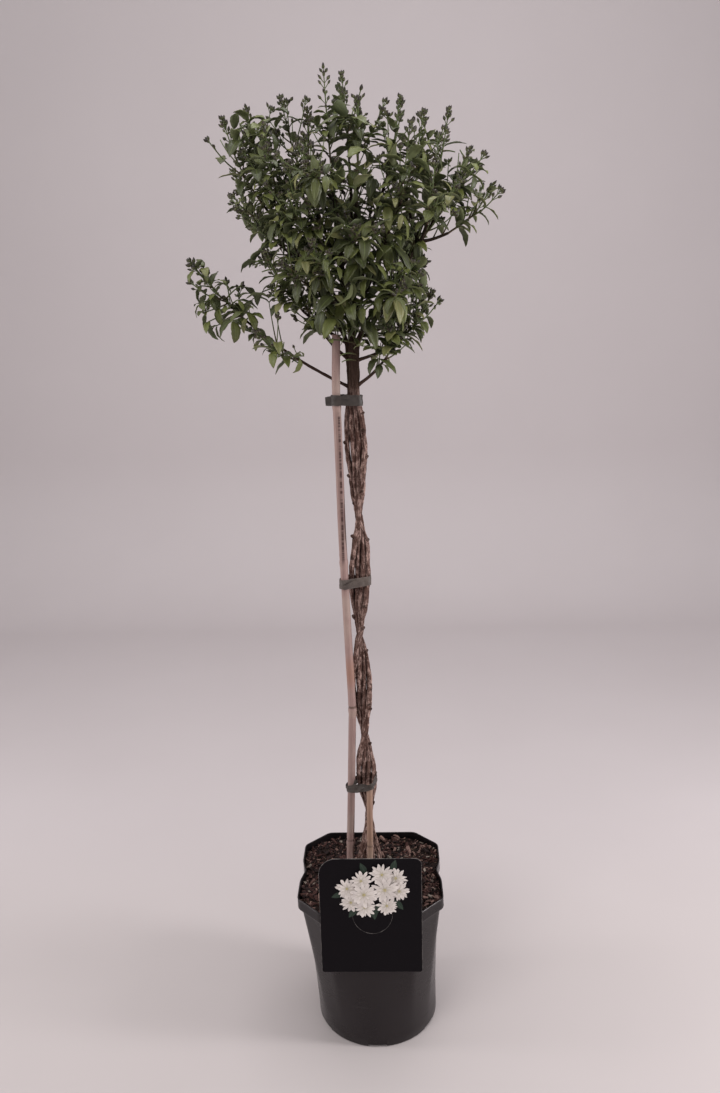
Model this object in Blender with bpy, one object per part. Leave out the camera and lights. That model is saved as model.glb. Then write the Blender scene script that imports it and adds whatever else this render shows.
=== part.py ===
# Potted mock orange trained as a small standard tree, in bud.
# Four stems twisted round each other rise from bark soil in a square-rimmed nursery pot and branch into a
# leafy crown. Two bamboo canes, three tape ties and a hang-on label card go with it.
# Metres, +Z up. The origin is on the ground under the middle of the pot, and the label faces -Y.

import math
import random

import bmesh
import bpy
import numpy as np

# Pot
POT_HEIGHT = 0.2015
RIM_HALF = 0.0907
CORNER_CUT = 0.031
RIM_BAND = 0.015
RIM_STEP = 0.005
BASE_RADIUS = 0.0778
BASE_ROUNDING = 0.003
WALL = 0.0018
FLOOR = 0.0022
SIDE_DENT = 0.005
DENT_HALF = 0.022
SHAPE_BLEND = 1.25
QUADRANT_ANGLES = (0, 13.6, 24, 33.4, 45, 56.6, 66, 76.4)
BODY_RINGS = (0.045, 0.090, 0.137)
LEAN_BASE = 0.0025
LEAN_RIM = -0.0027
NOTCH_COUNT = 6
NOTCH_WIDTH = 0.024
NOTCH_HEIGHT = 0.004
NOTCH_INNER = 0.060
GAP = 0.0003

# Soil
SOIL_LEVEL = 0.1920
SOIL_BUMP = 0.0016
SOIL_RINGS = (1.0, 0.80, 0.52, 0.24)
HOLE_CLEARANCE = 0.0005

# Canes
CANE_RADIUS = 0.0047
CANE_SIDES = 8
CANE_NODE_SWELL = 0.0006
CANE_NODES = (0.244, 0.429, 0.615, 0.800)
CANE_ROUTE = ((0.060, -0.0325, -0.003), (0.183, -0.0305, -0.003), (0.310, -0.0250, -0.005),
              (0.429, -0.0202, -0.0095), (0.470, -0.0212, -0.0105), (0.530, -0.0232, -0.0085),
              (0.650, -0.0266, -0.004), (0.770, -0.0276, -0.006),
              (0.820, -0.0285, -0.0085), (0.879, -0.0262, -0.0088))
STUB_RADIUS = 0.0038
STUB_ROUTE = ((0.085, -0.0045, -0.0190), (0.331, -0.0012, -0.0185))

# Ties
TIE_HEIGHTS = {"tie_upper": 0.8060, "tie_middle": 0.5905, "tie_lower": 0.3285}
TIE_WIDTH = 0.012
TIE_THICKNESS = 0.0007
TIE_CLEARANCE = 0.0006
TIE_POINTS = 32

# Label card
CARD_LEFT = -0.0625
CARD_RIGHT = 0.0600
CARD_BOTTOM = 0.1215
CARD_TOP = 0.276
CARD_THICKNESS = 0.0007
CARD_CORNERS = (0.003, 0.003, 0.008, 0.021)
TONGUE_CENTRE = 0.0005
TONGUE_HALF = 0.0242
TONGUE_REACH = 0.0270
MOON_SHARES = (0.0, 0.29, 0.58, 0.83, 0.98)
TONGUE_ROUTE = ((-0.0914, 0.2022), (-0.0884, 0.2023), (-0.0800, 0.2000), (-0.0720, 0.1976),
                (-0.0655, 0.1968))

# Twisted stems: the four stand side by side as a flat ribbon that turns about its own middle.
STEM_COUNT = 4
STEM_RADIUS = 0.0029
STEM_SIDES = 5
STEM_OFFSETS = (-0.0096, -0.0032, 0.0032, 0.0096)
STEM_BOTTOM = 0.115
FORK_HEIGHT = 0.812
TRUNK_Y = 0.002
HALF_TURNS = ((0.10, 0.0), (0.19, 0.0), (0.28, 0.5), (0.391, 1.5), (0.522, 2.5), (0.671, 3.5),
              (0.755, 4.0), (0.82, 3.62))
SWAY = ((0.18, -0.0043), (0.28, -0.0042), (0.39, -0.0070), (0.45, -0.0084), (0.52, -0.0098),
        (0.63, -0.0060), (0.80, -0.0088))
SPLAY = ((0.11, 1.8), (0.183, 1.75), (0.22, 1.5), (0.26, 1.0), (0.90, 1.0))

# Crown branches: name, stem, height where it leaves the stem's leader, tip, bend point, woody share.
# The first branch of each stem has no leaving height: it is the leader, which carries the stem on.
BRANCHES = (
    ("upper_left", 0, None, (-0.116, 0.000, 1.120), (-0.098, 0.008, 0.985), 0.72),
    ("left_arm", 0, 0.820, (-0.186, -0.020, 0.965), (-0.125, 0.004, 0.875), 0.60),
    ("left_front", 0, 0.870, (-0.097, -0.045, 0.970), (-0.085, -0.022, 0.910), 0.45),
    ("left_crest", 0, 0.990, (-0.137, -0.030, 1.103), (-0.125, -0.022, 1.035), 0.30),
    ("left_back", 0, 0.960, (-0.138, 0.035, 1.064), (-0.126, 0.022, 1.000), 0.35),
    ("left_inner", 0, 0.930, (-0.092, -0.045, 1.092), (-0.085, -0.040, 1.000), 0.40),
    ("top_leader", 1, None, (-0.031, -0.010, 1.150), (-0.026, -0.004, 1.000), 0.72),
    ("top_left", 1, 0.960, (-0.081, 0.020, 1.134), (-0.060, 0.018, 1.020), 0.55),
    ("top_left_front", 1, 0.950, (-0.052, -0.042, 1.082), (-0.048, -0.035, 1.005), 0.45),
    ("front_left", 1, 0.900, (-0.068, -0.075, 1.050), (-0.055, -0.060, 0.960), 0.45),
    ("top_middle", 2, None, (-0.013, 0.016, 1.150), (0.000, 0.010, 1.000), 0.74),
    ("top_front", 2, 0.980, (0.004, -0.032, 1.117), (0.006, -0.028, 1.040), 0.45),
    ("top_right", 2, 0.960, (0.050, 0.020, 1.130), (0.036, 0.016, 1.020), 0.52),
    ("right_crest", 2, 0.930, (0.074, -0.020, 1.105), (0.058, -0.014, 1.005), 0.52),
    ("right_front", 2, 0.900, (0.058, -0.058, 1.086), (0.050, -0.045, 0.990), 0.45),
    ("upper_right", 3, None, (0.123, -0.010, 1.070), (0.092, -0.006, 0.985), 0.76),
    ("right_tip", 3, 0.975, (0.150, 0.000, 1.038), (0.130, 0.002, 0.985), 0.30),
    ("right_shoulder", 3, 0.955, (0.101, 0.000, 1.112), (0.092, 0.006, 1.030), 0.45),
    ("right_back", 3, 0.940, (0.094, 0.052, 1.098), (0.085, 0.040, 1.000), 0.45),
    ("lower_right", 3, 0.850, (0.082, -0.022, 0.926), (0.066, -0.014, 0.868), 0.40),
    ("low_right", 3, 0.822, (0.050, -0.032, 0.893), (0.034, -0.018, 0.845), 0.50),
)
LEADER_RADIUS = 0.0027
LEADER_RISE = 0.048
LEADER_HANDLE = 0.036
BRANCH_RADIUS = 0.0020
WOOD_TIP_RADIUS = 0.0014
GREEN_RADII = (0.0012, 0.0008)
WOOD_STEP = 0.032
SHOOT_STEP = 0.040
TWIG_REACH = (0.034, 0.046)
SIDE_REACH = (0.052, 0.070)

# Branches that fill the crown's inside, front and back, set round it by the golden angle.
FILL_COUNT = 15
FILL_CENTRE = (-0.006, -0.004)
FILL_LOWEST = 0.900
FILL_HIGHEST = 1.070
FILL_REACHES = (0.115, 0.078)
FILL_SHARE = 0.45
GOLDEN_ANGLE = math.radians(137.508)
SPRAY_LIMIT = 44
FIRST_SPRAY = 10

# Leaves and buds
LEAF_LENGTH = 0.033
PAIR_SPACING = 0.034
LEAFLESS_END = 0.030
LAST_SHARE = 0.5
FIRST_LEAF = 0.012
FIRST_SHARE = 0.4
LEAF_SPREAD = (52, 70)
LEAF_ASPECT = (0.36, 0.46)
LEAF_FOLD = (6, 15)
LEAF_ARCH = (0.55, 1.25)
LEAF_STATIONS = (0.36, 0.72)
ROOT_HALF = 0.0004
LEAF_KEEL = 0.0010
PETIOLE_HALF = 0.0007
BUD_WIDEST = 0.45
BUD_LENGTHS = (0.0085, 0.0115)
BUD_RADII = (0.0016, 0.0020)
BUD_LEAN = (26, 42)
TIP_BUD_LENGTH = 0.0095
TIP_BUD_RADIUS = 0.0020
TIP_BUD_POINT = 0.0004
LEAF_BALL = 0.0023
STEM_BALL = 0.0014
BUD_BALL = 0.0018
UP = np.array((0.0, 0.0, 1.0))


def clear_scene():
    for item in list(bpy.data.objects):
        bpy.data.objects.remove(item, do_unlink=True)


def material(name, color, roughness):
    made = bpy.data.materials.new(name)
    made.use_nodes = True
    shader = made.node_tree.nodes["Principled BSDF"]
    shader.inputs["Base Color"].default_value = (*color, 1.0)
    shader.inputs["Roughness"].default_value = roughness
    shader.inputs["Metallic"].default_value = 0.0
    return made


def make_object(name, vertices, faces, look=None, smooth=False):
    mesh = bpy.data.meshes.new(name)
    mesh.from_pydata([tuple(map(float, v)) for v in vertices], [], faces)
    if look:
        mesh.materials.append(look)
    if smooth:
        mesh.shade_smooth()
        mesh.set_sharp_from_angle(angle=math.radians(40))
    made = bpy.data.objects.new(name, mesh)
    bpy.context.scene.collection.objects.link(made)
    return made


def loft(rings):
    # Closed skin over a stack of rings with equal point counts, with a flat cap at each end.
    count = len(rings[0])
    vertices = [point for ring in rings for point in ring]
    faces = []
    for level in range(len(rings) - 1):
        low = level * count
        high = low + count
        for k in range(count):
            nxt = (k + 1) % count
            faces.append((low + k, low + nxt, high + nxt, high + k))
    faces.append(tuple(reversed(range(count))))
    faces.append(tuple(range((len(rings) - 1) * count, len(rings) * count)))
    return vertices, faces


def split_quads(vertices, faces):
    # Cuts each quad along its shorter diagonal, so that walls that run side by side bend alike.
    made = []
    for face in faces:
        if len(face) != 4:
            made.append(face)
            continue
        a, b, c, d = face
        across = math.dist(vertices[a], vertices[c])
        other = math.dist(vertices[b], vertices[d])
        made += [(a, b, c), (a, c, d)] if across < other else [(a, b, d), (b, c, d)]
    return vertices, made


def unit(vector):
    vector = np.asarray(vector, float)
    return vector / np.linalg.norm(vector)


def tube(path, radii, sides, start=None, end=None):
    # Closed round tube along a path: the ring frame is carried from point to point without twisting.
    # Its first and last rings may face given directions.
    path = np.asarray(path, float)
    forward = unit(path[1] - path[0])
    side = unit(np.cross(forward, (0.31, 0.95, 0.05)))
    rings = []
    for k, point in enumerate(path):
        ahead = path[min(k + 1, len(path) - 1)]
        behind = path[max(k - 1, 0)]
        forward = unit(ahead - behind)
        if k == 0 and start is not None:
            forward = start
        if k == len(path) - 1 and end is not None:
            forward = end
        side = unit(side - forward * float(np.dot(side, forward)))
        other = np.cross(forward, side)
        angles = [2 * math.pi * j / sides for j in range(sides)]
        rings.append([point + radii[k] * (side * math.cos(a) + other * math.sin(a)) for a in angles])
    return loft(rings)


def keep_main_body(mesh):
    # Drops loose scraps and sealed inner skins, which leaves the one body with the most faces.
    work = bmesh.new()
    work.from_mesh(mesh)
    unseen = set(work.faces)
    bodies = []
    while unseen:
        seed = unseen.pop()
        body = {seed}
        front = [seed]
        while front:
            for edge in front.pop().edges:
                for face in edge.link_faces:
                    if face in unseen:
                        unseen.remove(face)
                        body.add(face)
                        front.append(face)
        bodies.append(body)
    bodies.sort(key=len)
    for body in bodies[:-1]:
        bmesh.ops.delete(work, geom=list(body), context="FACES")
    loose = [v for v in work.verts if not v.link_faces]
    bmesh.ops.delete(work, geom=loose, context="VERTS")
    work.to_mesh(mesh)
    work.free()


def combine(base, others, operation):
    group = bpy.data.collections.new("operands")
    bpy.context.scene.collection.children.link(group)
    for other in others:
        group.objects.link(other)
    change = base.modifiers.new("combine", "BOOLEAN")
    change.operation = operation
    change.operand_type = "COLLECTION"
    change.collection = group
    change.solver = "EXACT"
    bpy.context.view_layer.update()
    evaluated = base.evaluated_get(bpy.context.evaluated_depsgraph_get())
    result = bpy.data.meshes.new_from_object(evaluated)
    base.modifiers.clear()
    old = base.data
    base.data = result
    bpy.data.meshes.remove(old)
    for other in others:
        bpy.data.objects.remove(other, do_unlink=True)
    bpy.data.collections.remove(group)
    keep_main_body(base.data)
    base.data.name = base.name
    return base


def rim_reach(angle):
    # Distance from the axis to a square with cut corners, whose left and right sides dip in at the middle.
    across = max(abs(math.cos(angle)), 1e-6)
    along = max(abs(math.sin(angle)), 1e-6)
    dent = SIDE_DENT * max(0.0, 1.0 - RIM_HALF * along / across / DENT_HALF)
    corner = (2 * RIM_HALF - CORNER_CUT) / (across + along)
    return min((RIM_HALF - dent) / across, RIM_HALF / along, corner)


def pot_angles():
    return [math.radians(a + 90 * q) for q in range(4) for a in QUADRANT_ANGLES]


def lean(z):
    # The soft pot stands a little askew: its middle moves sideways from base to rim.
    return LEAN_BASE + (LEAN_RIM - LEAN_BASE) * z / POT_HEIGHT


def ring_at(reaches, z):
    return [(lean(z) + r * math.cos(a), r * math.sin(a), z) for r, a in zip(reaches, pot_angles())]


def body_ring(z, inset):
    # The body is round at the base and takes the rim's shape towards the top.
    share = (z / (POT_HEIGHT - RIM_BAND)) ** SHAPE_BLEND
    rims = [rim_reach(a) - RIM_STEP for a in pot_angles()]
    return ring_at([BASE_RADIUS + (rim - BASE_RADIUS) * share - inset for rim in rims], z)


def rim_ring(z, inset):
    return ring_at([rim_reach(a) - inset for a in pot_angles()], z)


def raised(ring, z):
    return [(x, y, z) for x, y, _ in ring]


def build_pot(look):
    ledge = POT_HEIGHT - RIM_BAND
    rings = [raised(body_ring(0.0, BASE_ROUNDING), 0.0)]
    rings += [body_ring(z, 0.0) for z in (BASE_ROUNDING, *BODY_RINGS)]
    rings += [body_ring(ledge, 0.0), rim_ring(ledge + 0.0006, 0.0006), rim_ring(ledge + 0.002, 0.0)]
    rings += [rim_ring(POT_HEIGHT - 0.0005, 0.0), rim_ring(POT_HEIGHT, 0.0005)]
    rings += [rim_ring(POT_HEIGHT, WALL - 0.0003)]
    rings += [rim_ring(ledge + 0.0026, WALL), raised(body_ring(ledge, WALL), ledge + WALL)]
    rings += [body_ring(z, WALL) for z in reversed(BODY_RINGS)]
    rings += [raised(body_ring(BASE_ROUNDING, WALL + 0.001), FLOOR)]
    pot = make_object("pot", *split_quads(*loft(rings)), look, smooth=True)
    cutters = []
    for k in range(NOTCH_COUNT):
        angle = 2 * math.pi * k / NOTCH_COUNT - math.pi / 2
        middle = 0.5 * (NOTCH_INNER + RIM_HALF)
        cutter = make_object(f"notch_{k}", *box_data(RIM_HALF - NOTCH_INNER, NOTCH_WIDTH, 2 * NOTCH_HEIGHT))
        cutter.location = (LEAN_BASE + middle * math.cos(angle), middle * math.sin(angle), 0.0)
        cutter.rotation_euler = (0.0, 0.0, angle)
        cutters.append(cutter)
    return combine(pot, cutters, "DIFFERENCE")


def box_data(length, width, height):
    x = length / 2
    y = width / 2
    outline = [(-x, -y), (x, -y), (x, y), (-x, y)]
    return loft([[(x, y, z) for x, y in outline] for z in (-height / 2, height / 2)])


def soil_top(x, y):
    wave = math.sin(95 * x + 1.3) * math.cos(110 * y - 0.4) + 0.6 * math.sin(210 * x - 150 * y)
    return SOIL_LEVEL + SOIL_BUMP * wave


def build_soil(look, stems, canes):
    ledge = POT_HEIGHT - RIM_BAND
    inset = WALL + GAP
    rings = [raised(body_ring(BASE_ROUNDING, inset + 0.0015), FLOOR + GAP)]
    rings += [body_ring(z, inset) for z in BODY_RINGS]
    rings += [raised(body_ring(ledge, inset), ledge + WALL + GAP)]
    rings += [rim_ring(ledge + 0.0026 + GAP, inset + 0.0002)]
    edge = rim_ring(SOIL_LEVEL, inset + 0.0002)
    for share in SOIL_RINGS:
        scaled = [(share * x, share * y) for x, y, _ in edge]
        rings.append([(x, y, SOIL_LEVEL if share == 1.0 else soil_top(x, y)) for x, y in scaled])
    soil = make_object("bark_soil", *split_quads(*loft(rings)), look)
    cutters = []
    for name, path, radius, sides in stems + canes:
        below = path[0] - np.array((0.0, 0.0, HOLE_CLEARANCE))
        above = next(k for k, p in enumerate(path) if p[2] > SOIL_LEVEL + 0.010)
        inside = [below, *path[1:above + 1]]
        data = tube(inside, [radius + HOLE_CLEARANCE] * len(inside), sides)
        cutters.append(make_object("hole_" + name, *data))
    return combine(soil, cutters, "DIFFERENCE")


def lookup(pairs, x):
    return float(np.interp(x, [p[0] for p in pairs], [p[1] for p in pairs]))


def cane_point(route, z):
    marks = [p[0] for p in route]
    x = np.interp(z, marks, [p[1] for p in route])
    y = np.interp(z, marks, [p[2] for p in route])
    return np.array((x, y, z))


def cane_path():
    heights = set(np.linspace(CANE_ROUTE[0][0], CANE_ROUTE[-1][0], 12).round(4))
    for node in CANE_NODES:
        heights |= {node - 0.004, node, node + 0.003}
    heights = sorted(heights)
    path = [cane_point(CANE_ROUTE, z) for z in heights]
    radii = [CANE_RADIUS + (CANE_NODE_SWELL if z in CANE_NODES else 0.0) for z in heights]
    return path, radii


def build_canes(look_long, look_short):
    path, radii = cane_path()
    make_object("long_cane", *tube(path, radii, CANE_SIDES), look_long, smooth=True)
    heights = np.linspace(STUB_ROUTE[0][0], STUB_ROUTE[1][0], 4)
    stub = [cane_point(STUB_ROUTE, z) for z in heights]
    make_object("short_cane", *tube(stub, [STUB_RADIUS] * len(stub), CANE_SIDES), look_short, smooth=True)
    return [("long", path, CANE_RADIUS, CANE_SIDES), ("short", stub, STUB_RADIUS, CANE_SIDES)]


def stem_point(index, z):
    turn = lookup(HALF_TURNS, z) * math.pi
    offset = STEM_OFFSETS[index] * lookup(SPLAY, z)
    return np.array((lookup(SWAY, z) + offset * math.cos(turn), TRUNK_Y + offset * math.sin(turn), z))


def hull(points):
    # Convex outline, anticlockwise.
    points = sorted(map(tuple, points))

    def half(run):
        chain = []
        for p in run:
            while len(chain) > 1:
                (ax, ay), (bx, by) = chain[-2], chain[-1]
                if (bx - ax) * (p[1] - ay) - (by - ay) * (p[0] - ax) > 0:
                    break
                chain.pop()
            chain.append(p)
        return chain[:-1]

    return half(points) + half(points[::-1])


def even_outline(outline, count, grow):
    # Equal steps along a closed outline, moved outwards by grow.
    closed = np.array(outline + [outline[0]])
    marks = lengths(closed)
    made = []
    for k in range(count):
        s = marks[-1] * k / count
        point = at(closed, s)
        ahead = at(closed, (s + 0.0015) % marks[-1])
        behind = at(closed, (s - 0.0015) % marks[-1])
        forward = unit(ahead - behind)
        made.append((point[0] + grow * forward[1], point[1] - grow * forward[0]))
    return made


def build_tie(name, middle, rods, look):
    # A band of tape drawn tight round the canes and stems that pass through its height.
    circles = []
    for z in np.linspace(middle - TIE_WIDTH / 2, middle + TIE_WIDTH / 2, 5):
        for path, radius in rods:
            if path[0][2] < z < path[-1][2] + TIE_WIDTH:
                circles.append(([lookup([(p[2], p[k]) for p in path], z) for k in (0, 1)], radius))
    points = []
    for centre, radius in circles:
        for k in range(16):
            angle = 2 * math.pi * k / 16
            points.append((centre[0] + radius * math.cos(angle), centre[1] + radius * math.sin(angle)))
    outline = hull(points)
    inner = even_outline(outline, TIE_POINTS, TIE_CLEARANCE)
    outer = even_outline(outline, TIE_POINTS, TIE_CLEARANCE + TIE_THICKNESS)
    low = middle - TIE_WIDTH / 2
    high = middle + TIE_WIDTH / 2
    count = TIE_POINTS
    levels = ((outer, low), (outer, high), (inner, high), (inner, low))
    vertices = [(x, y, z) for ring, z in levels for x, y in ring]
    faces = []
    for ring in range(4):
        here = ring * count
        there = (ring + 1) % 4 * count
        for k in range(count):
            nxt = (k + 1) % count
            faces.append((here + k, here + nxt, there + nxt, there + k))
    make_object(name, vertices, faces, look)


def card_outline():
    # Anticlockwise seen from the front (-Y), each corner an arc.
    corners = ((CARD_LEFT, CARD_BOTTOM, 180), (CARD_RIGHT, CARD_BOTTOM, 270),
               (CARD_RIGHT, CARD_TOP, 0), (CARD_LEFT, CARD_TOP, 90))
    outline = []
    for (x, z, start), radius in zip(corners, CARD_CORNERS):
        cx = x + radius if x == CARD_LEFT else x - radius
        cz = z + radius if z == CARD_BOTTOM else z - radius
        steps = 6 if radius > 0.01 else 3
        for k in range(steps + 1):
            angle = math.radians(start + 90 * k / steps)
            outline.append((cx + radius * math.cos(angle), cz + radius * math.sin(angle)))
    return outline


def moon_half_width(s):
    # Half width of the half-moon tongue at a distance s below its fold.
    return TONGUE_HALF * math.sqrt(max(0.0, 1.0 - (s / TONGUE_REACH) ** 2))


def plate(outline, front, back):
    return loft([[(x, y, z) for x, z in outline] for y in (front, back)])


def build_card(look):
    back = -(RIM_HALF + GAP)
    front = back - CARD_THICKNESS
    vertices, faces = plate(card_outline(), front, back)
    card = make_object("label_card", vertices, [tuple(reversed(f)) for f in faces], look)
    fold = TONGUE_ROUTE[0][1] + CARD_THICKNESS / 2
    depths = [share * TONGUE_REACH for share in MOON_SHARES]
    moon = [(TONGUE_CENTRE - moon_half_width(s), fold - s) for s in depths]
    moon += [(TONGUE_CENTRE + moon_half_width(s), fold - s) for s in reversed(depths)]
    vertices, faces = plate(moon, front - 0.001, back + 0.001)
    window = make_object("window", vertices, [tuple(reversed(f)) for f in faces])
    card = combine(card, [window], "DIFFERENCE")
    route = np.array(TONGUE_ROUTE)
    marks = lengths(route)
    rings = []
    for s in (0.0, *marks[1:]):
        y, z = at(route, s)
        forward = unit(at(route, min(s + 0.001, marks[-1])) - at(route, max(s - 0.001, 0.0)))
        normal = np.array((-forward[1], forward[0])) * CARD_THICKNESS / 2
        half = moon_half_width(s * 0.93) * 0.985
        corners = ((-half, -1), (half, -1), (half, 1), (-half, 1))
        rings.append([(TONGUE_CENTRE + x, y + normal[0] * side, z + normal[1] * side) for x, side in corners])
    vertices, faces = loft(rings)
    tongue = make_object("tongue", vertices, faces)
    combine(card, [tongue], "UNION")


def bezier(start, bend, end, count):
    t = np.linspace(0.0, 1.0, count)[:, None]
    return (1 - t) ** 2 * np.asarray(start) + 2 * t * (1 - t) * np.asarray(bend) + t * t * np.asarray(end)


def leader_curve(start, bend, end, count):
    # Rises with the other stems past the fork, then bends out.
    knee = start + UP * LEADER_RISE
    handle = knee + UP * LEADER_HANDLE
    t = np.linspace(0.0, 1.0, count)[:, None]
    first = (1 - t) ** 3 * knee + 3 * t * (1 - t) ** 2 * handle
    return np.vstack((start, first + 3 * t * t * (1 - t) * np.asarray(bend) + t ** 3 * np.asarray(end)))


def lengths(path):
    steps = np.linalg.norm(np.diff(path, axis=0), axis=1)
    return np.concatenate(([0.0], np.cumsum(steps)))


def at(path, s):
    path = np.asarray(path, float)
    marks = lengths(path)
    return np.array([np.interp(s, marks, path[:, k]) for k in range(path.shape[1])])


def tangent(path, s):
    span = 0.002
    return unit(at(path, min(s + span, lengths(path)[-1])) - at(path, max(s - span, 0.0)))


def cut(path, s0, s1, step):
    count = max(2, int(math.ceil((s1 - s0) / step)) + 1)
    return np.array([at(path, s) for s in np.linspace(s0, s1, count)])


def side_vector(forward, angle):
    first = unit(np.cross(forward, UP if abs(forward[2]) < 0.95 else (1.0, 0.0, 0.0)))
    return first * math.cos(angle) + np.cross(forward, first) * math.sin(angle)


class Space:
    # Keeps pieces apart: each piece is a string of small balls, and balls of two pieces may not touch.
    def __init__(self):
        self.where = np.zeros((0, 3))
        self.radius = np.zeros(0)
        self.owner = np.zeros(0, int)

    def add(self, owner, points, radius):
        points = np.atleast_2d(points)
        self.where = np.vstack((self.where, points))
        self.radius = np.concatenate((self.radius, np.full(len(points), radius)))
        self.owner = np.concatenate((self.owner, np.full(len(points), owner)))

    def free(self, owner, points, radius, margin=0.0):
        points = np.atleast_2d(points)
        low = points.min(axis=0) - 0.012
        high = points.max(axis=0) + 0.012
        near = np.all((self.where > low) & (self.where < high), axis=1)
        near &= self.owner != owner
        if not near.any():
            return True
        gaps = np.linalg.norm(points[:, None, :] - self.where[near][None], axis=2)
        return bool(np.all(gaps > self.radius[near][None] + radius + margin))


def leaf_width(u):
    # Share of the full width at a share u of the length: an egg shape with a drawn-out point.
    return min(1.0, 3.10 * max(u - 0.06, 0.0) ** 0.60 * (1.0 - u) ** 0.95) if 0 < u < 1 else 0.0


def leaf_point(leaf, u, v, lift=0.0):
    # The blade bends down along its length and folds up along its rib.
    bend = leaf["arch"] * u
    reach = leaf["length"] / leaf["arch"]
    forward = leaf["along"] * math.sin(bend) * reach
    centre = leaf["base"] + forward - leaf["normal"] * (1 - math.cos(bend)) * reach
    normal = leaf["normal"] * math.cos(bend) + leaf["along"] * math.sin(bend)
    side = np.cross(leaf["along"], leaf["normal"])
    half = max(0.5 * leaf["width"] * leaf_width(u), PETIOLE_HALF * (1 - u))
    rise = half * abs(v) * math.sin(leaf["fold"]) + lift
    return centre + side * (half * v * math.cos(leaf["fold"])) + normal * rise


def leaf_balls(leaf):
    stations = (0.12, 0.25, 0.38, 0.5, 0.62, 0.75, 0.88, 1.0)
    return np.array([leaf_point(leaf, u, v) for u in stations for v in (-0.6, 0.0, 0.6)])


def make_leaf(axis, s, angle, rng, length):
    forward = tangent(axis, s)
    out = side_vector(forward, angle)
    spread = math.radians(rng.uniform(*LEAF_SPREAD))
    along = unit(forward * math.cos(spread) + out * math.sin(spread) + UP * rng.uniform(-0.22, 0.10))
    face = forward * 0.5 + UP * 0.7 + out * rng.uniform(-0.1, 0.1)
    normal = unit(face - along * float(np.dot(face, along)))
    return {"base": at(axis, s), "along": along, "normal": normal, "length": length,
            "width": length * rng.uniform(*LEAF_ASPECT), "fold": math.radians(rng.uniform(*LEAF_FOLD)),
            "arch": rng.uniform(*LEAF_ARCH)}


def try_leaf(space, owner, axis, s, angle, rng, length):
    for attempt in range(9):
        swing = rng.uniform(-0.5, 0.5) * attempt / 3
        leaf = make_leaf(axis, s, angle + swing, rng, length * (1 - 0.03 * attempt))
        balls = leaf_balls(leaf)
        if space.free(owner, balls[:6], STEM_BALL) and space.free(-1, balls[6:], LEAF_BALL):
            space.add(owner, balls, LEAF_BALL)
            return [leaf]
    return []


def make_bud(axis, s, angle, rng, lean):
    forward = tangent(axis, s)
    along = unit(forward * math.cos(lean) + side_vector(forward, angle) * math.sin(lean))
    length = rng.uniform(*BUD_LENGTHS)
    return {"base": at(axis, s), "along": along, "length": length, "radius": rng.uniform(*BUD_RADII)}


def add_raceme(space, owner, spray, axis, rng, pairs):
    # Pairs of buds below the shoot's tip, each pair square to the next.
    total = lengths(axis)[-1]
    turn = rng.uniform(0, math.pi)
    for k in range(pairs):
        for side in (0, 1):
            angle = turn + k * math.pi / 2 + side * math.pi
            bud = make_bud(axis, total - 0.004 - 0.0085 * k, angle, rng, math.radians(rng.uniform(*BUD_LEAN)))
            ends = np.array([bud["base"] + bud["along"] * bud["length"] * share for share in (0.5, 1.0)])
            if space.free(owner, ends, BUD_BALL):
                space.add(owner, ends, BUD_BALL)
                spray["buds"].append(bud)


def add_twig(space, owner, spray, axis, s, turn, rng, leaf_length):
    # A short side twig with one pair of small leaves and three buds.
    for _ in range(8):
        forward = tangent(axis, s)
        start = at(axis, s)
        lean = unit(forward * 0.8 + side_vector(forward, turn + rng.uniform(0, 2 * math.pi)) * 0.6)
        reach = rng.uniform(*TWIG_REACH)
        twig = bezier(start, start + lean * reach * 0.6, start + lean * reach + UP * 0.012, 3)
        total = lengths(twig)[-1]
        if not space.free(owner, cut(twig, 0.003, total, 0.003), STEM_BALL, 0.001):
            continue
        space.add(owner, cut(twig, 0.0, total, 0.003), STEM_BALL)
        spray["twigs"].append(twig)
        add_raceme(space, owner, spray, twig, rng, 1)
        for side in (0, 1):
            size = leaf_length * rng.uniform(0.6, 0.75)
            spray["leaves"] += try_leaf(space, owner, twig, total * 0.55, turn + side * math.pi, rng, size)
        return


def grow_spray(space, owner, name, axis, pairs, twigs, leaf_length):
    rng = random.Random(name)
    total = lengths(axis)[-1]
    spray = {"name": "spray_" + name, "axis": axis, "twigs": [], "leaves": [], "buds": []}
    turn = rng.uniform(0, math.pi)
    last = max(total - LEAFLESS_END, LAST_SHARE * total)
    first = min(FIRST_LEAF, FIRST_SHARE * last)
    add_raceme(space, owner, spray, axis, rng, 1)
    for _ in range(twigs):
        add_twig(space, owner, spray, axis, first + (last - first) * 0.45, turn, rng, leaf_length)
    for k, s in enumerate(np.linspace(first, last, pairs)):
        size = leaf_length * (1.0 - 0.28 * abs(k / max(1, pairs - 1) - 0.35)) * rng.uniform(0.9, 1.1)
        for side in (0, 1):
            angle = turn + k * math.pi / 2 + side * math.pi
            spray["leaves"] += try_leaf(space, owner, axis, s, angle, rng, size)
    return spray


def branch_route(mains, strand, leave, tip, bend):
    if leave is None:
        return leader_curve(stem_point(strand, FORK_HEIGHT), bend, tip, 25)
    main = mains[strand]
    start = at(main, float(np.interp(leave, main[:, 2], lengths(main))))
    return bezier(start, bend, tip, 25)


def fill_tips():
    tips = []
    for k in range(FILL_COUNT):
        share = (k + 0.5) / FILL_COUNT
        angle = GOLDEN_ANGLE * k + 0.6
        reach = FILL_REACHES[k % 2] * (0.80 + 0.35 * math.sin(math.pi * share * 0.9))
        x = FILL_CENTRE[0] + 0.8 * reach * math.cos(angle)
        y = FILL_CENTRE[1] + reach * math.sin(angle)
        tips.append(np.array((x, y, FILL_LOWEST + (FILL_HIGHEST - FILL_LOWEST) * share)))
    return tips


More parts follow.
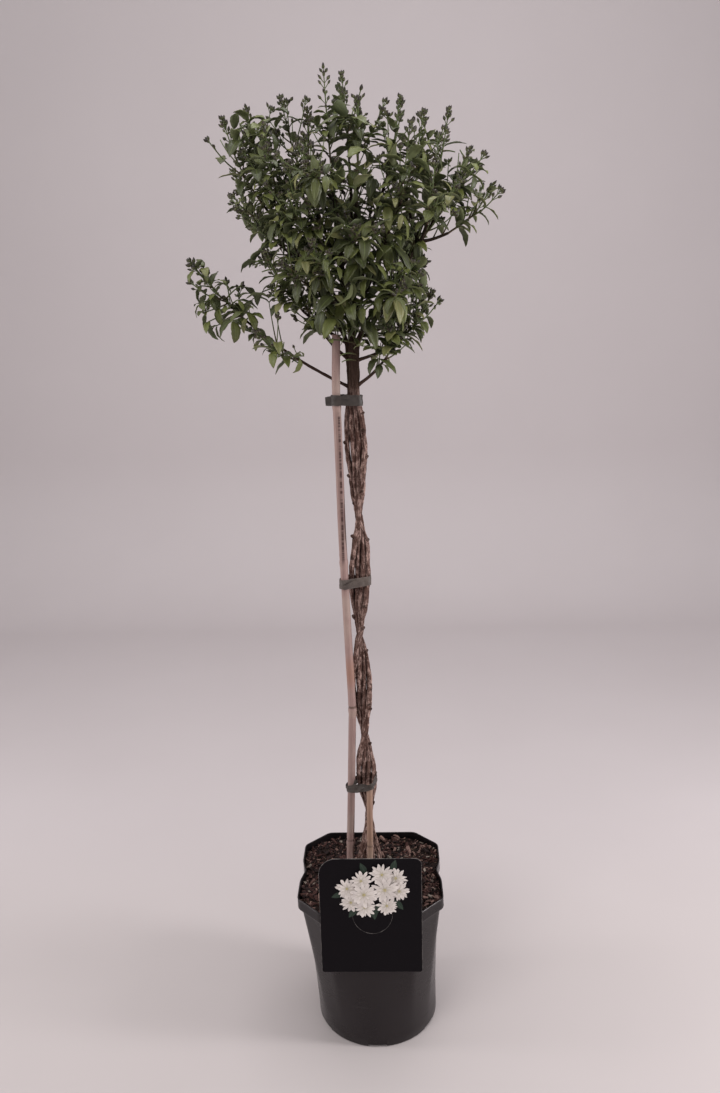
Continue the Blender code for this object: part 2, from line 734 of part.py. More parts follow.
def fill_route(space, mains, tip):
    # The shortest clear way from a leader to the tip.
    best = None
    for strand, main in mains.items():
        for share in np.linspace(0.12, 0.62, 11):
            start = at(main, lengths(main)[-1] * share)
            reach = tip - start
            distance = float(np.linalg.norm(reach))
            if reach[2] < 0.02 or distance < 0.07:
                continue
            bend = start + reach * np.array((0.6, 0.6, 0.32))
            route = bezier(start, bend, tip, 25)
            total = lengths(route)[-1]
            if not space.free(strand, cut(route, 0.010, total, 0.003), STEM_BALL, 0.002):
                continue
            if not space.free(-1, cut(route, total * FILL_SHARE, total, 0.003), STEM_BALL, 0.002):
                continue
            cost = distance + 0.5 * abs(distance - 0.10)
            if best is None or cost < best[0]:
                best = (cost, strand, route)
    return best


def grow_wood(space):
    # Each stem with its branches: a list of tubes per stem, and the route of every branch.
    mains = {}
    routes = []
    for name, strand, leave, tip, bend, share in BRANCHES:
        route = branch_route(mains, strand, leave, tip, bend)
        if leave is None:
            mains[strand] = route
        routes.append((name, strand, route, share))
    wood = []
    for index in range(STEM_COUNT):
        stem = np.array([stem_point(index, z) for z in np.linspace(STEM_BOTTOM, FORK_HEIGHT, 28)])
        space.add(index, cut(stem, 0.0, lengths(stem)[-1], 0.004), STEM_RADIUS)
        main = mains[index]
        share = next(r[3] for r in routes if r[2] is main)
        woody = lengths(main)[-1] * share
        upper = cut(main, 0.0, woody, WOOD_STEP)
        space.add(index, cut(upper, 0.0, lengths(upper)[-1], 0.003), LEADER_RADIUS)
        radii = [STEM_RADIUS] * len(stem) + list(np.linspace(LEADER_RADIUS, WOOD_TIP_RADIUS, len(upper))[1:])
        wood.append([(np.vstack((stem, upper[1:])), radii, tangent(main, woody))])
    for name, strand, route, share in routes:
        if route is not mains[strand]:
            add_branch(space, wood, strand, route, share)
    shoots = []
    for name, strand, route, share in routes:
        add_shoot(space, shoots, name, strand, route, share)
    for k, tip in enumerate(fill_tips()):
        found = fill_route(space, mains, tip)
        if found:
            add_branch(space, wood, found[1], found[2], FILL_SHARE)
            add_shoot(space, shoots, f"fill_{k + 1:02d}", found[1], found[2], FILL_SHARE)
    return wood, shoots


def add_shoot(space, shoots, name, strand, route, share):
    # The green end of a branch, which starts a small gap past the wood.
    total = lengths(route)[-1]
    axis = cut(route, total * share + GAP, total - TIP_BUD_LENGTH, SHOOT_STEP)
    owner = FIRST_SPRAY + len(shoots)
    space.add(owner, cut(axis, 0.003, lengths(axis)[-1], 0.003), STEM_BALL)
    shoots.append({"owner": owner, "name": name, "axis": axis, "start": tangent(route, total * share),
                   "strand": strand, "route": route, "woody": total * share})


def add_branch(space, wood, strand, route, share):
    woody = lengths(route)[-1] * share
    path = cut(route, 0.0, woody, WOOD_STEP)
    radii = list(np.linspace(BRANCH_RADIUS, WOOD_TIP_RADIUS, len(path)))
    wood[strand].append((path, radii, tangent(route, woody)))
    space.add(strand, cut(path, 0.0, lengths(path)[-1], 0.003), BRANCH_RADIUS)


def lateral_axis(space, strand, route, woody, rng):
    # A side shoot's axis, seated just off the branch's skin.
    for _ in range(14):
        s = woody * rng.uniform(0.4, 0.85)
        forward = tangent(route, s)
        out = side_vector(forward, rng.uniform(0, 2 * math.pi))
        lean = unit(forward * 0.6 + out * 0.8)
        start = at(route, s) + lean * ((BRANCH_RADIUS + GAP + 0.0008) / 0.8)
        reach = rng.uniform(*SIDE_REACH)
        axis = bezier(start, start + lean * reach * 0.55, start + lean * reach + UP * 0.022, 4)
        clear = space.free(strand, cut(axis, 0.003, lengths(axis)[-1], 0.003), STEM_BALL, 0.002)
        away = cut(axis, 0.009, lengths(axis)[-1], 0.003)
        if lean[2] > -0.1 and clear and space.free(-1, away, STEM_BALL, 0.0022):
            return axis, lean
    return None, None


def grow_crown(space):
    wood, shoots = grow_wood(space)
    sprays = []
    for shoot in shoots:
        pairs = int(max(2, min(3, round(lengths(shoot["axis"])[-1] / PAIR_SPACING))))
        twigs = 0 if shoot["name"].startswith("fill") else 1
        spray = grow_spray(space, shoot["owner"], shoot["name"], shoot["axis"], pairs, twigs, LEAF_LENGTH)
        spray["start"] = shoot["start"]
        sprays.append(spray)
    for shoot in shoots:
        if shoot["woody"] < 0.05 or len(sprays) >= SPRAY_LIMIT:
            continue
        name = "side_" + shoot["name"]
        axis, lean = lateral_axis(space, shoot["strand"], shoot["route"], shoot["woody"], random.Random(name))
        if axis is not None:
            owner = FIRST_SPRAY + len(shoots) + len(sprays)
            space.add(owner, cut(axis, 0.003, lengths(axis)[-1], 0.003), STEM_BALL)
            spray = grow_spray(space, owner, name, axis, 2, 0, LEAF_LENGTH * 0.93)
            spray["carrier"] = shoot["strand"]
            sprays.append(spray)
    return wood, sprays


def blade_data(leaf):
    # A leaf whose rib stands out below like a keel. It starts from a small root inside the shoot.
    side = np.cross(leaf["along"], leaf["normal"]) * ROOT_HALF
    top = leaf["base"] + leaf["normal"] * ROOT_HALF * 0.4
    vertices = [top - side, top + side, top - leaf["normal"] * ROOT_HALF * 1.6]
    for u in LEAF_STATIONS:
        vertices += [leaf_point(leaf, u, -1), leaf_point(leaf, u, 1), leaf_point(leaf, u, 0, -LEAF_KEEL)]
    vertices.append(leaf_point(leaf, 1.0, 0))
    tip = len(vertices) - 1
    faces = [(0, 1, 2)]
    for level in range(len(LEAF_STATIONS)):
        low = 3 * level
        for k in range(3):
            a, b = low + k, low + (k + 1) % 3
            faces += [(a, a + 3, b), (b, a + 3, b + 3)]
    last = tip - 3
    faces += [(last + k, tip, last + (k + 1) % 3) for k in range(3)]
    return vertices, faces


def bud_data(bud):
    # A pointed bud: a double pyramid with its long end outwards.
    side = side_vector(bud["along"], 0.0)
    other = np.cross(bud["along"], side)
    middle = bud["base"] + bud["along"] * bud["length"] * BUD_WIDEST
    ring = [middle + bud["radius"] * (side * math.cos(a) + other * math.sin(a)) for a in (0.0, 2.094, 4.189)]
    vertices = [bud["base"], *ring, bud["base"] + bud["along"] * bud["length"]]
    faces = [(0, 1 + (k + 1) % 3, 1 + k) for k in range(3)] + [(4, 1 + k, 1 + (k + 1) % 3) for k in range(3)]
    return vertices, faces


def facing_out(made):
    work = bmesh.new()
    work.from_mesh(made.data)
    bmesh.ops.recalc_face_normals(work, faces=work.faces)
    work.to_mesh(made.data)
    work.free()
    return made


def budded_shoot(path, start_radius, sides, start=None):
    # A shoot that ends in a bud: the bud is the swollen end of the same tube.
    forward = unit(path[-1] - path[-2])
    stem_end = path[-1] - forward * 0.001
    ends = [stem_end + forward * TIP_BUD_LENGTH * share for share in (BUD_WIDEST, 1.0)]
    radii = [*np.linspace(start_radius, GREEN_RADII[1], len(path)), TIP_BUD_RADIUS, TIP_BUD_POINT]
    return tube([*path[:-1], stem_end, *ends], radii, sides, start)


def seat(spray, stem):
    # Moves a side shoot's first point down to just off the branch's skin.
    found, skin, normal, _ = stem.closest_point_on_mesh(tuple(spray["axis"][0]))
    spray["start"] = np.array(normal)
    spray["axis"][0] = np.array(skin) + spray["start"] * GAP


def build_spray(spray, look):
    base = make_object(spray["name"], *budded_shoot(spray["axis"], GREEN_RADII[0], 4, spray["start"]), look)
    repeats = []
    for twig in spray["twigs"]:
        repeats.append(make_object("twig", *budded_shoot(twig, GREEN_RADII[1], 3)))
    for leaf in spray["leaves"]:
        repeats.append(make_object("leaf", *blade_data(leaf)))
    for bud in spray["buds"]:
        repeats.append(make_object("bud", *bud_data(bud)))
    for repeat in repeats:
        facing_out(repeat)
    combine(base, repeats, "UNION")


def build_stem(index, tubes, look):
    path, radii, end = tubes[0]
    base = make_object(f"stem_{index + 1}", *tube(path, radii, STEM_SIDES, end=end), look)
    branches = [make_object("branch", *tube(p, r, 4, end=d)) for p, r, d in tubes[1:]]
    return combine(base, branches, "UNION")


def build():
    clear_scene()
    black_plastic = material("pot_plastic", (0.020, 0.020, 0.022), 0.42)
    bark_chips = material("bark_soil", (0.085, 0.045, 0.030), 0.95)
    cane = material("bamboo", (0.46, 0.31, 0.23), 0.60)
    pale_cane = material("bamboo_pale", (0.52, 0.34, 0.27), 0.60)
    tape = material("tie_tape", (0.13, 0.15, 0.12), 0.55)
    card = material("label_card", (0.012, 0.012, 0.014), 0.35)
    bark = material("bark", (0.25, 0.18, 0.13), 0.85)
    foliage = material("foliage", (0.07, 0.12, 0.04), 0.50)
    build_pot(black_plastic)
    canes = build_canes(cane, pale_cane)
    build_card(card)
    space = Space()
    for number, (name, path, radius, sides) in enumerate(canes):
        path = np.array(path)
        space.add(4 + number, cut(path, 0.0, lengths(path)[-1], 0.004), radius)
    wood, sprays = grow_crown(space)
    stems = [(str(k), wood[k][0][0], STEM_RADIUS, STEM_SIDES) for k in range(STEM_COUNT)]
    rods = [(path, radius) for _, path, radius, _ in stems] + [(canes[0][1], CANE_RADIUS + CANE_NODE_SWELL)]
    rods.append((canes[1][1], STUB_RADIUS))
    for name, middle in TIE_HEIGHTS.items():
        build_tie(name, middle, rods, tape)
    build_soil(bark_chips, stems, canes)
    built = [build_stem(index, tubes, bark) for index, tubes in enumerate(wood)]
    bpy.context.view_layer.update()
    for spray in sprays:
        if "carrier" in spray:
            seat(spray, built[spray["carrier"]])
        build_spray(spray, foliage)


build()
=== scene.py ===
import math
import random

import bmesh
import bpy
import numpy as np
from mathutils import Matrix, Vector, noise


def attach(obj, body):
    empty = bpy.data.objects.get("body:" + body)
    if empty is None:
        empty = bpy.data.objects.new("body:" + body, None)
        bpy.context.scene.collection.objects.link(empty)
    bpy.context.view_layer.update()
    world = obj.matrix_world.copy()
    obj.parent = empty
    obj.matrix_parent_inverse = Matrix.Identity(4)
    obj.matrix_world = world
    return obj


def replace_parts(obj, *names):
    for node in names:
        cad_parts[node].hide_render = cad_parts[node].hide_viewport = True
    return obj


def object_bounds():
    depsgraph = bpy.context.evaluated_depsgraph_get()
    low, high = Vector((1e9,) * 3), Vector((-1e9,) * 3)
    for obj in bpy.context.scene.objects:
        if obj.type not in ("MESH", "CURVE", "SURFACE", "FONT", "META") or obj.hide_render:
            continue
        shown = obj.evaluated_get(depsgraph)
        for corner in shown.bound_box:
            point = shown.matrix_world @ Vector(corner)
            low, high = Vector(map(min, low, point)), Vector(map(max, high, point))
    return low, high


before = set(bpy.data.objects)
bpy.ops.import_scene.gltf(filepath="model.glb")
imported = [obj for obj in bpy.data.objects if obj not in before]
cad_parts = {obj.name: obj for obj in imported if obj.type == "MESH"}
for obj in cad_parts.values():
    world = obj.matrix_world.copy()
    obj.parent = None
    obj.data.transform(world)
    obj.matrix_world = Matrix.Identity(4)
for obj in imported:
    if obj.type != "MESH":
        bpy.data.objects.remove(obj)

CAD_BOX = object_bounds()

# Pot
POT_HEIGHT = 0.2015
RIM_HALF = 0.0907
CORNER_CUT = 0.031
RIM_BAND = 0.015
RIM_STEP = 0.005
BASE_RADIUS = 0.0778
BASE_ROUNDING = 0.003
WALL = 0.0018
FLOOR = 0.0022
SIDE_DENT = 0.005
DENT_HALF = 0.022
SHAPE_BLEND = 1.25
LEAN_BASE = 0.0025
LEAN_RIM = -0.0027
NOTCH_COUNT = 6
NOTCH_WIDTH = 0.024
NOTCH_HEIGHT = 0.004
NOTCH_INNER = 0.060
GAP = 0.0003

# Soil
SOIL_LEVEL = 0.1920
SOIL_BUMP = 0.0016

# Canes
CANE_RADIUS = 0.0047
CANE_NODE_SWELL = 0.0006
CANE_NODES = (0.244, 0.429, 0.615, 0.800)
CANE_ROUTE = ((0.060, -0.0325, -0.003), (0.183, -0.0305, -0.003), (0.310, -0.0250, -0.005),
              (0.429, -0.0202, -0.0095), (0.470, -0.0212, -0.0105), (0.530, -0.0232, -0.0085),
              (0.650, -0.0266, -0.004), (0.770, -0.0276, -0.006),
              (0.820, -0.0285, -0.0085), (0.879, -0.0262, -0.0088))
STUB_RADIUS = 0.0038
STUB_ROUTE = ((0.085, -0.0045, -0.0190), (0.331, -0.0012, -0.0185))

# Ties
TIE_HEIGHTS = {"tie_upper": 0.8060, "tie_middle": 0.5905, "tie_lower": 0.3285}
TIE_WIDTH = 0.012
TIE_THICKNESS = 0.0007
TIE_CLEARANCE = 0.0006

# Label card
CARD_LEFT = -0.0625
CARD_RIGHT = 0.0600
CARD_BOTTOM = 0.1215
CARD_TOP = 0.276
CARD_THICKNESS = 0.0007
CARD_CORNERS = (0.003, 0.003, 0.008, 0.021)
TONGUE_CENTRE = 0.0005
TONGUE_HALF = 0.0242
TONGUE_REACH = 0.0270
TONGUE_ROUTE = ((-0.0914, 0.2022), (-0.0884, 0.2023), (-0.0800, 0.2000), (-0.0720, 0.1976),
                (-0.0655, 0.1968))

# Twisted stems: the four stand side by side as a flat ribbon that turns about its own middle.
STEM_COUNT = 4
STEM_RADIUS = 0.0029
STEM_OFFSETS = (-0.0096, -0.0032, 0.0032, 0.0096)
STEM_BOTTOM = 0.115
FORK_HEIGHT = 0.812
TRUNK_Y = 0.002
HALF_TURNS = ((0.10, 0.0), (0.19, 0.0), (0.28, 0.5), (0.391, 1.5), (0.522, 2.5), (0.671, 3.5),
              (0.755, 4.0), (0.82, 3.62))
SWAY = ((0.18, -0.0043), (0.28, -0.0042), (0.39, -0.0070), (0.45, -0.0084), (0.52, -0.0098),
        (0.63, -0.0060), (0.80, -0.0088))
SPLAY = ((0.11, 1.8), (0.183, 1.75), (0.22, 1.5), (0.26, 1.0), (0.90, 1.0))

# Crown branches: name, stem, height where it leaves the stem's leader, tip, bend point, woody share.
# The first branch of each stem has no leaving height: it is the leader, which carries the stem on.
BRANCHES = (
    ("upper_left", 0, None, (-0.116, 0.000, 1.120), (-0.098, 0.008, 0.985), 0.72),
    ("left_arm", 0, 0.820, (-0.186, -0.020, 0.965), (-0.125, 0.004, 0.875), 0.60),
    ("left_front", 0, 0.870, (-0.097, -0.045, 0.970), (-0.085, -0.022, 0.910), 0.45),
    ("left_crest", 0, 0.990, (-0.137, -0.030, 1.103), (-0.125, -0.022, 1.035), 0.30),
    ("left_back", 0, 0.960, (-0.138, 0.035, 1.064), (-0.126, 0.022, 1.000), 0.35),
    ("left_inner", 0, 0.930, (-0.092, -0.045, 1.092), (-0.085, -0.040, 1.000), 0.40),
    ("top_leader", 1, None, (-0.031, -0.010, 1.150), (-0.026, -0.004, 1.000), 0.72),
    ("top_left", 1, 0.960, (-0.081, 0.020, 1.134), (-0.060, 0.018, 1.020), 0.55),
    ("top_left_front", 1, 0.950, (-0.052, -0.042, 1.082), (-0.048, -0.035, 1.005), 0.45),
    ("front_left", 1, 0.900, (-0.068, -0.075, 1.050), (-0.055, -0.060, 0.960), 0.45),
    ("top_middle", 2, None, (-0.013, 0.016, 1.150), (0.000, 0.010, 1.000), 0.74),
    ("top_front", 2, 0.980, (0.004, -0.032, 1.117), (0.006, -0.028, 1.040), 0.45),
    ("top_right", 2, 0.960, (0.050, 0.020, 1.130), (0.036, 0.016, 1.020), 0.52),
    ("right_crest", 2, 0.930, (0.074, -0.020, 1.105), (0.058, -0.014, 1.005), 0.52),
    ("right_front", 2, 0.900, (0.058, -0.058, 1.086), (0.050, -0.045, 0.990), 0.45),
    ("upper_right", 3, None, (0.123, -0.010, 1.070), (0.092, -0.006, 0.985), 0.76),
    ("right_tip", 3, 0.975, (0.150, 0.000, 1.038), (0.130, 0.002, 0.985), 0.30),
    ("right_shoulder", 3, 0.955, (0.101, 0.000, 1.112), (0.092, 0.006, 1.030), 0.45),
    ("right_back", 3, 0.940, (0.094, 0.052, 1.098), (0.085, 0.040, 1.000), 0.45),
    ("lower_right", 3, 0.850, (0.082, -0.022, 0.926), (0.066, -0.014, 0.868), 0.40),
    ("low_right", 3, 0.822, (0.050, -0.032, 0.893), (0.034, -0.018, 0.845), 0.50),
)
LEADER_RADIUS = 0.0027
LEADER_RISE = 0.048
LEADER_HANDLE = 0.036
BRANCH_RADIUS = 0.0020
WOOD_TIP_RADIUS = 0.0014
GREEN_RADII = (0.0012, 0.0008)
WOOD_STEP = 0.032
SHOOT_STEP = 0.040
TWIG_REACH = (0.034, 0.046)
TWIG_LEAF = (0.6, 0.75)
SIDE_REACH = (0.052, 0.070)
SIDE_PLACES = (0.4, 0.85)

# Branches that fill the crown's inside, front and back, set round it by the golden angle.
FILL_COUNT = 15
FILL_CENTRE = (-0.006, -0.004)
FILL_LOWEST = 0.900
FILL_HIGHEST = 1.070
FILL_REACHES = (0.115, 0.078)
FILL_SHARE = 0.45
GOLDEN_ANGLE = math.radians(137.508)
SPRAY_LIMIT = 44
FIRST_SPRAY = 10

# Leaves and buds
LEAF_LENGTH = 0.033
PAIR_SPACING = 0.034
LEAFLESS_END = 0.030
LAST_SHARE = 0.5
FIRST_LEAF = 0.012
FIRST_SHARE = 0.4
LEAF_SPREAD = (52, 70)
LEAF_ASPECT = (0.36, 0.46)
LEAF_FOLD = (6, 15)
LEAF_ARCH = (0.55, 1.25)
PETIOLE_HALF = 0.0007
BUD_LENGTHS = (0.0085, 0.0115)
BUD_RADII = (0.0016, 0.0020)
BUD_LEAN = (26, 42)
BUD_FROM_TIP = 0.004
BUD_STEP = 0.0085
TIP_BUD_LENGTH = 0.0095
LEAF_BALL = 0.0023
STEM_BALL = 0.0014
BALL_STEP = 0.003
STEM_BALL_STEP = 0.004
LEAF_TRIES = 9
TWIG_TRIES = 8
SIDE_TRIES = 14
BUD_BALL = 0.0018
UP = np.array((0.0, 0.0, 1.0))


def make_object(name, vertices, faces, look=None, smooth=False):
    mesh = bpy.data.meshes.new(name)
    mesh.from_pydata([tuple(map(float, v)) for v in vertices], [], faces)
    if look:
        mesh.materials.append(look)
    if smooth:
        mesh.shade_smooth()
        mesh.set_sharp_from_angle(angle=math.radians(40))
    made = bpy.data.objects.new(name, mesh)
    bpy.context.scene.collection.objects.link(made)
    return made


def grid_faces(rows, columns, closed=True):
    faces = []
    span = columns if closed else columns - 1
    for r in range(rows - 1):
        for c in range(span):
            a = r * columns + c
            b = r * columns + (c + 1) % columns
            faces.append((a, b, b + columns, a + columns))
    return faces


def skin_faces(rows, columns):
    # A closed skin over a stack of rings, with a flat cap at each end.
    caps = [tuple(reversed(range(columns))), tuple(range((rows - 1) * columns, rows * columns))]
    return grid_faces(rows, columns) + caps


def loft(rings):
    return [point for ring in rings for point in ring], skin_faces(len(rings), len(rings[0]))


def unit(vector):
    vector = np.asarray(vector, float)
    return vector / np.linalg.norm(vector)


def keep_main_body(mesh):
    # Drops loose scraps and sealed inner skins, which leaves the one body with the most faces.
    work = bmesh.new()
    work.from_mesh(mesh)
    unseen = set(work.faces)
    bodies = []
    while unseen:
        seed = unseen.pop()
        body = {seed}
        front = [seed]
        while front:
            for edge in front.pop().edges:
                for face in edge.link_faces:
                    if face in unseen:
                        unseen.remove(face)
                        body.add(face)
                        front.append(face)
        bodies.append(body)
    bodies.sort(key=len)
    for body in bodies[:-1]:
        bmesh.ops.delete(work, geom=list(body), context="FACES")
    loose = [v for v in work.verts if not v.link_faces]
    bmesh.ops.delete(work, geom=loose, context="VERTS")
    work.to_mesh(mesh)
    work.free()


def cut_away(base, others):
    group = bpy.data.collections.new("operands")
    bpy.context.scene.collection.children.link(group)
    for other in others:
        group.objects.link(other)
    change = base.modifiers.new("cut_away", "BOOLEAN")
    change.operation = "DIFFERENCE"
    change.operand_type = "COLLECTION"
    change.collection = group
    change.solver = "EXACT"
    bpy.context.view_layer.update()
    evaluated = base.evaluated_get(bpy.context.evaluated_depsgraph_get())
    result = bpy.data.meshes.new_from_object(evaluated)
    base.modifiers.clear()
    old = base.data
    base.data = result
    bpy.data.meshes.remove(old)
    for other in others:
        bpy.data.objects.remove(other, do_unlink=True)
    bpy.data.collections.remove(group)
    keep_main_body(base.data)
    base.data.name = base.name


def rim_reach(angle):
    # Distance from the axis to a square with cut corners, whose left and right sides dip in at the middle.
    across = max(abs(math.cos(angle)), 1e-6)
    along = max(abs(math.sin(angle)), 1e-6)
    dent = SIDE_DENT * max(0.0, 1.0 - RIM_HALF * along / across / DENT_HALF)
    corner = (2 * RIM_HALF - CORNER_CUT) / (across + along)
    return min((RIM_HALF - dent) / across, RIM_HALF / along, corner)


def box_data(length, width, height):
    x = length / 2
    y = width / 2
    outline = [(-x, -y), (x, -y), (x, y), (-x, y)]
    return loft([[(x, y, z) for x, y in outline] for z in (-height / 2, height / 2)])


def lean(z):
    # The soft pot stands a little askew: its middle moves sideways from base to rim.
    return LEAN_BASE + (LEAN_RIM - LEAN_BASE) * z / POT_HEIGHT


def soil_top(x, y):
    wave = math.sin(95 * x + 1.3) * math.cos(110 * y - 0.4) + 0.6 * math.sin(210 * x - 150 * y)
    return SOIL_LEVEL + SOIL_BUMP * wave


def lookup(pairs, x):
    return float(np.interp(x, [p[0] for p in pairs], [p[1] for p in pairs]))


def cane_point(route, z):
    marks = [p[0] for p in route]
    x = np.interp(z, marks, [p[1] for p in route])
    y = np.interp(z, marks, [p[2] for p in route])
    return np.array((x, y, z))


def cane_path():
    heights = set(np.linspace(CANE_ROUTE[0][0], CANE_ROUTE[-1][0], 12).round(4))
    for node in CANE_NODES:
        heights |= {node - 0.004, node, node + 0.003}
    return [cane_point(CANE_ROUTE, z) for z in sorted(heights)]


def stub_path(count):
    heights = np.linspace(STUB_ROUTE[0][0], STUB_ROUTE[1][0], count)
    return np.array([cane_point(STUB_ROUTE, z) for z in heights])


def stem_point(index, z):
    turn = lookup(HALF_TURNS, z) * math.pi
    offset = STEM_OFFSETS[index] * lookup(SPLAY, z)
    return np.array((lookup(SWAY, z) + offset * math.cos(turn), TRUNK_Y + offset * math.sin(turn), z))


def hull(points):
    # Convex outline, anticlockwise.
    points = sorted(map(tuple, points))

    def half(run):
        chain = []
        for p in run:
            while len(chain) > 1:
                (ax, ay), (bx, by) = chain[-2], chain[-1]
                if (bx - ax) * (p[1] - ay) - (by - ay) * (p[0] - ax) > 0:
                    break
                chain.pop()
            chain.append(p)
        return chain[:-1]

    return half(points) + half(points[::-1])


def even_outline(outline, count, grow):
    # Equal steps along a closed outline, moved outwards by grow.
    closed = np.array(outline + [outline[0]])
    marks = lengths(closed)
    made = []
    for k in range(count):
        s = marks[-1] * k / count
        point = at(closed, s)
        ahead = at(closed, (s + 0.0015) % marks[-1])
        behind = at(closed, (s - 0.0015) % marks[-1])
        forward = unit(ahead - behind)
        made.append((point[0] + grow * forward[1], point[1] - grow * forward[0]))
    return made


def moon_half_width(s):
    # Half width of the half-moon tongue at a distance s below its fold.
    return TONGUE_HALF * math.sqrt(max(0.0, 1.0 - (s / TONGUE_REACH) ** 2))


def plate(outline, front, back):
    return loft([[(x, y, z) for x, z in outline] for y in (front, back)])


def bezier(start, bend, end, count):
    t = np.linspace(0.0, 1.0, count)[:, None]
    return (1 - t) ** 2 * np.asarray(start) + 2 * t * (1 - t) * np.asarray(bend) + t * t * np.asarray(end)


def leader_curve(start, bend, end, count):
    # Rises with the other stems past the fork, then bends out.
    knee = start + UP * LEADER_RISE
    handle = knee + UP * LEADER_HANDLE
    t = np.linspace(0.0, 1.0, count)[:, None]
    first = (1 - t) ** 3 * knee + 3 * t * (1 - t) ** 2 * handle
    return np.vstack((start, first + 3 * t * t * (1 - t) * np.asarray(bend) + t ** 3 * np.asarray(end)))


def lengths(path):
    steps = np.linalg.norm(np.diff(path, axis=0), axis=1)
    return np.concatenate(([0.0], np.cumsum(steps)))


def at(path, s):
    path = np.asarray(path, float)
    marks = lengths(path)
    return np.array([np.interp(s, marks, path[:, k]) for k in range(path.shape[1])])


def tangent(path, s):
    span = 0.002
    return unit(at(path, min(s + span, lengths(path)[-1])) - at(path, max(s - span, 0.0)))


def cut(path, s0, s1, step):
    count = max(2, int(math.ceil((s1 - s0) / step)) + 1)
    return np.array([at(path, s) for s in np.linspace(s0, s1, count)])


def onward(path, s, step):
    return cut(path, s, lengths(path)[-1], step)


def square_to(vector, along):
    return unit(vector - along * float(np.dot(vector, along)))


def side_vector(forward, angle):
    first = unit(np.cross(forward, UP if abs(forward[2]) < 0.95 else (1.0, 0.0, 0.0)))
    return first * math.cos(angle) + np.cross(forward, first) * math.sin(angle)


def leaned(forward, angle, lean):
    return unit(forward * math.cos(lean) + side_vector(forward, angle) * math.sin(lean))


class Space:
    # Keeps pieces apart: each piece is a string of small balls, and balls of two pieces may not touch.
    def __init__(self):
        self.where = np.zeros((0, 3))
        self.radius = np.zeros(0)
        self.owner = np.zeros(0, int)

    def add(self, owner, points, radius):
        points = np.atleast_2d(points)
        self.where = np.vstack((self.where, points))
        self.radius = np.concatenate((self.radius, np.full(len(points), radius)))
        self.owner = np.concatenate((self.owner, np.full(len(points), owner)))

    def free(self, owner, points, radius, margin=0.0):
        points = np.atleast_2d(points)
        low = points.min(axis=0) - 0.012
        high = points.max(axis=0) + 0.012
        near = np.all((self.where > low) & (self.where < high), axis=1)
        near &= self.owner != owner
        if not near.any():
            return True
        gaps = np.linalg.norm(points[:, None, :] - self.where[near][None], axis=2)
        return bool(np.all(gaps > self.radius[near][None] + radius + margin))


def leaf_width(u):
    # Share of the full width at a share u of the length: an egg shape with a drawn-out point.
    return min(1.0, 3.10 * max(u - 0.06, 0.0) ** 0.60 * (1.0 - u) ** 0.95) if 0 < u < 1 else 0.0


def leaf_point(leaf, u, v):
    # The blade bends down along its length and folds up along its rib.
    bend = leaf["arch"] * u
    reach = leaf["length"] / leaf["arch"]
    forward = leaf["along"] * math.sin(bend) * reach
    centre = leaf["base"] + forward - leaf["normal"] * (1 - math.cos(bend)) * reach
    normal = leaf["normal"] * math.cos(bend) + leaf["along"] * math.sin(bend)
    side = np.cross(leaf["along"], leaf["normal"])
    half = max(0.5 * leaf["width"] * leaf_width(u), PETIOLE_HALF * (1 - u))
    rise = half * abs(v) * math.sin(leaf["fold"])
    return centre + side * (half * v * math.cos(leaf["fold"])) + normal * rise


def leaf_balls(leaf):
    stations = (0.12, 0.25, 0.38, 0.5, 0.62, 0.75, 0.88, 1.0)
    return np.array([leaf_point(leaf, u, v) for u in stations for v in (-0.6, 0.0, 0.6)])


def make_leaf(axis, s, angle, rng, length):
    forward = tangent(axis, s)
    out = side_vector(forward, angle)
    spread = math.radians(rng.uniform(*LEAF_SPREAD))
    along = unit(forward * math.cos(spread) + out * math.sin(spread) + UP * rng.uniform(-0.22, 0.10))
    normal = square_to(forward * 0.5 + UP * 0.7 + out * rng.uniform(-0.1, 0.1), along)
    return {"base": at(axis, s), "along": along, "normal": normal, "length": length,
            "width": length * rng.uniform(*LEAF_ASPECT), "fold": math.radians(rng.uniform(*LEAF_FOLD)),
            "arch": rng.uniform(*LEAF_ARCH)}


def try_leaf(space, owner, axis, s, angle, rng, length):
    for attempt in range(LEAF_TRIES):
        swing = rng.uniform(-0.5, 0.5) * attempt / 3
        leaf = make_leaf(axis, s, angle + swing, rng, length * (1 - 0.03 * attempt))
        balls = leaf_balls(leaf)
        if space.free(owner, balls[:6], STEM_BALL) and space.free(-1, balls[6:], LEAF_BALL):
            space.add(owner, balls, LEAF_BALL)
            return [leaf]
    return []


def make_bud(axis, s, angle, rng, lean):
    return {"base": at(axis, s), "along": leaned(tangent(axis, s), angle, lean),
            "length": rng.uniform(*BUD_LENGTHS), "radius": rng.uniform(*BUD_RADII)}


def add_raceme(space, owner, spray, axis, rng, pairs):
    # Pairs of buds below the shoot's tip, each pair square to the next.
    total = lengths(axis)[-1]
    turn = rng.uniform(0, math.pi)
    for k in range(pairs):
        for side in (0, 1):
            angle = turn + k * math.pi / 2 + side * math.pi
            lean = math.radians(rng.uniform(*BUD_LEAN))
            bud = make_bud(axis, total - BUD_FROM_TIP - BUD_STEP * k, angle, rng, lean)
            ends = np.array([bud["base"] + bud["along"] * bud["length"] * share for share in (0.5, 1.0)])
            if space.free(owner, ends, BUD_BALL):
                space.add(owner, ends, BUD_BALL)
                spray["buds"].append(bud)


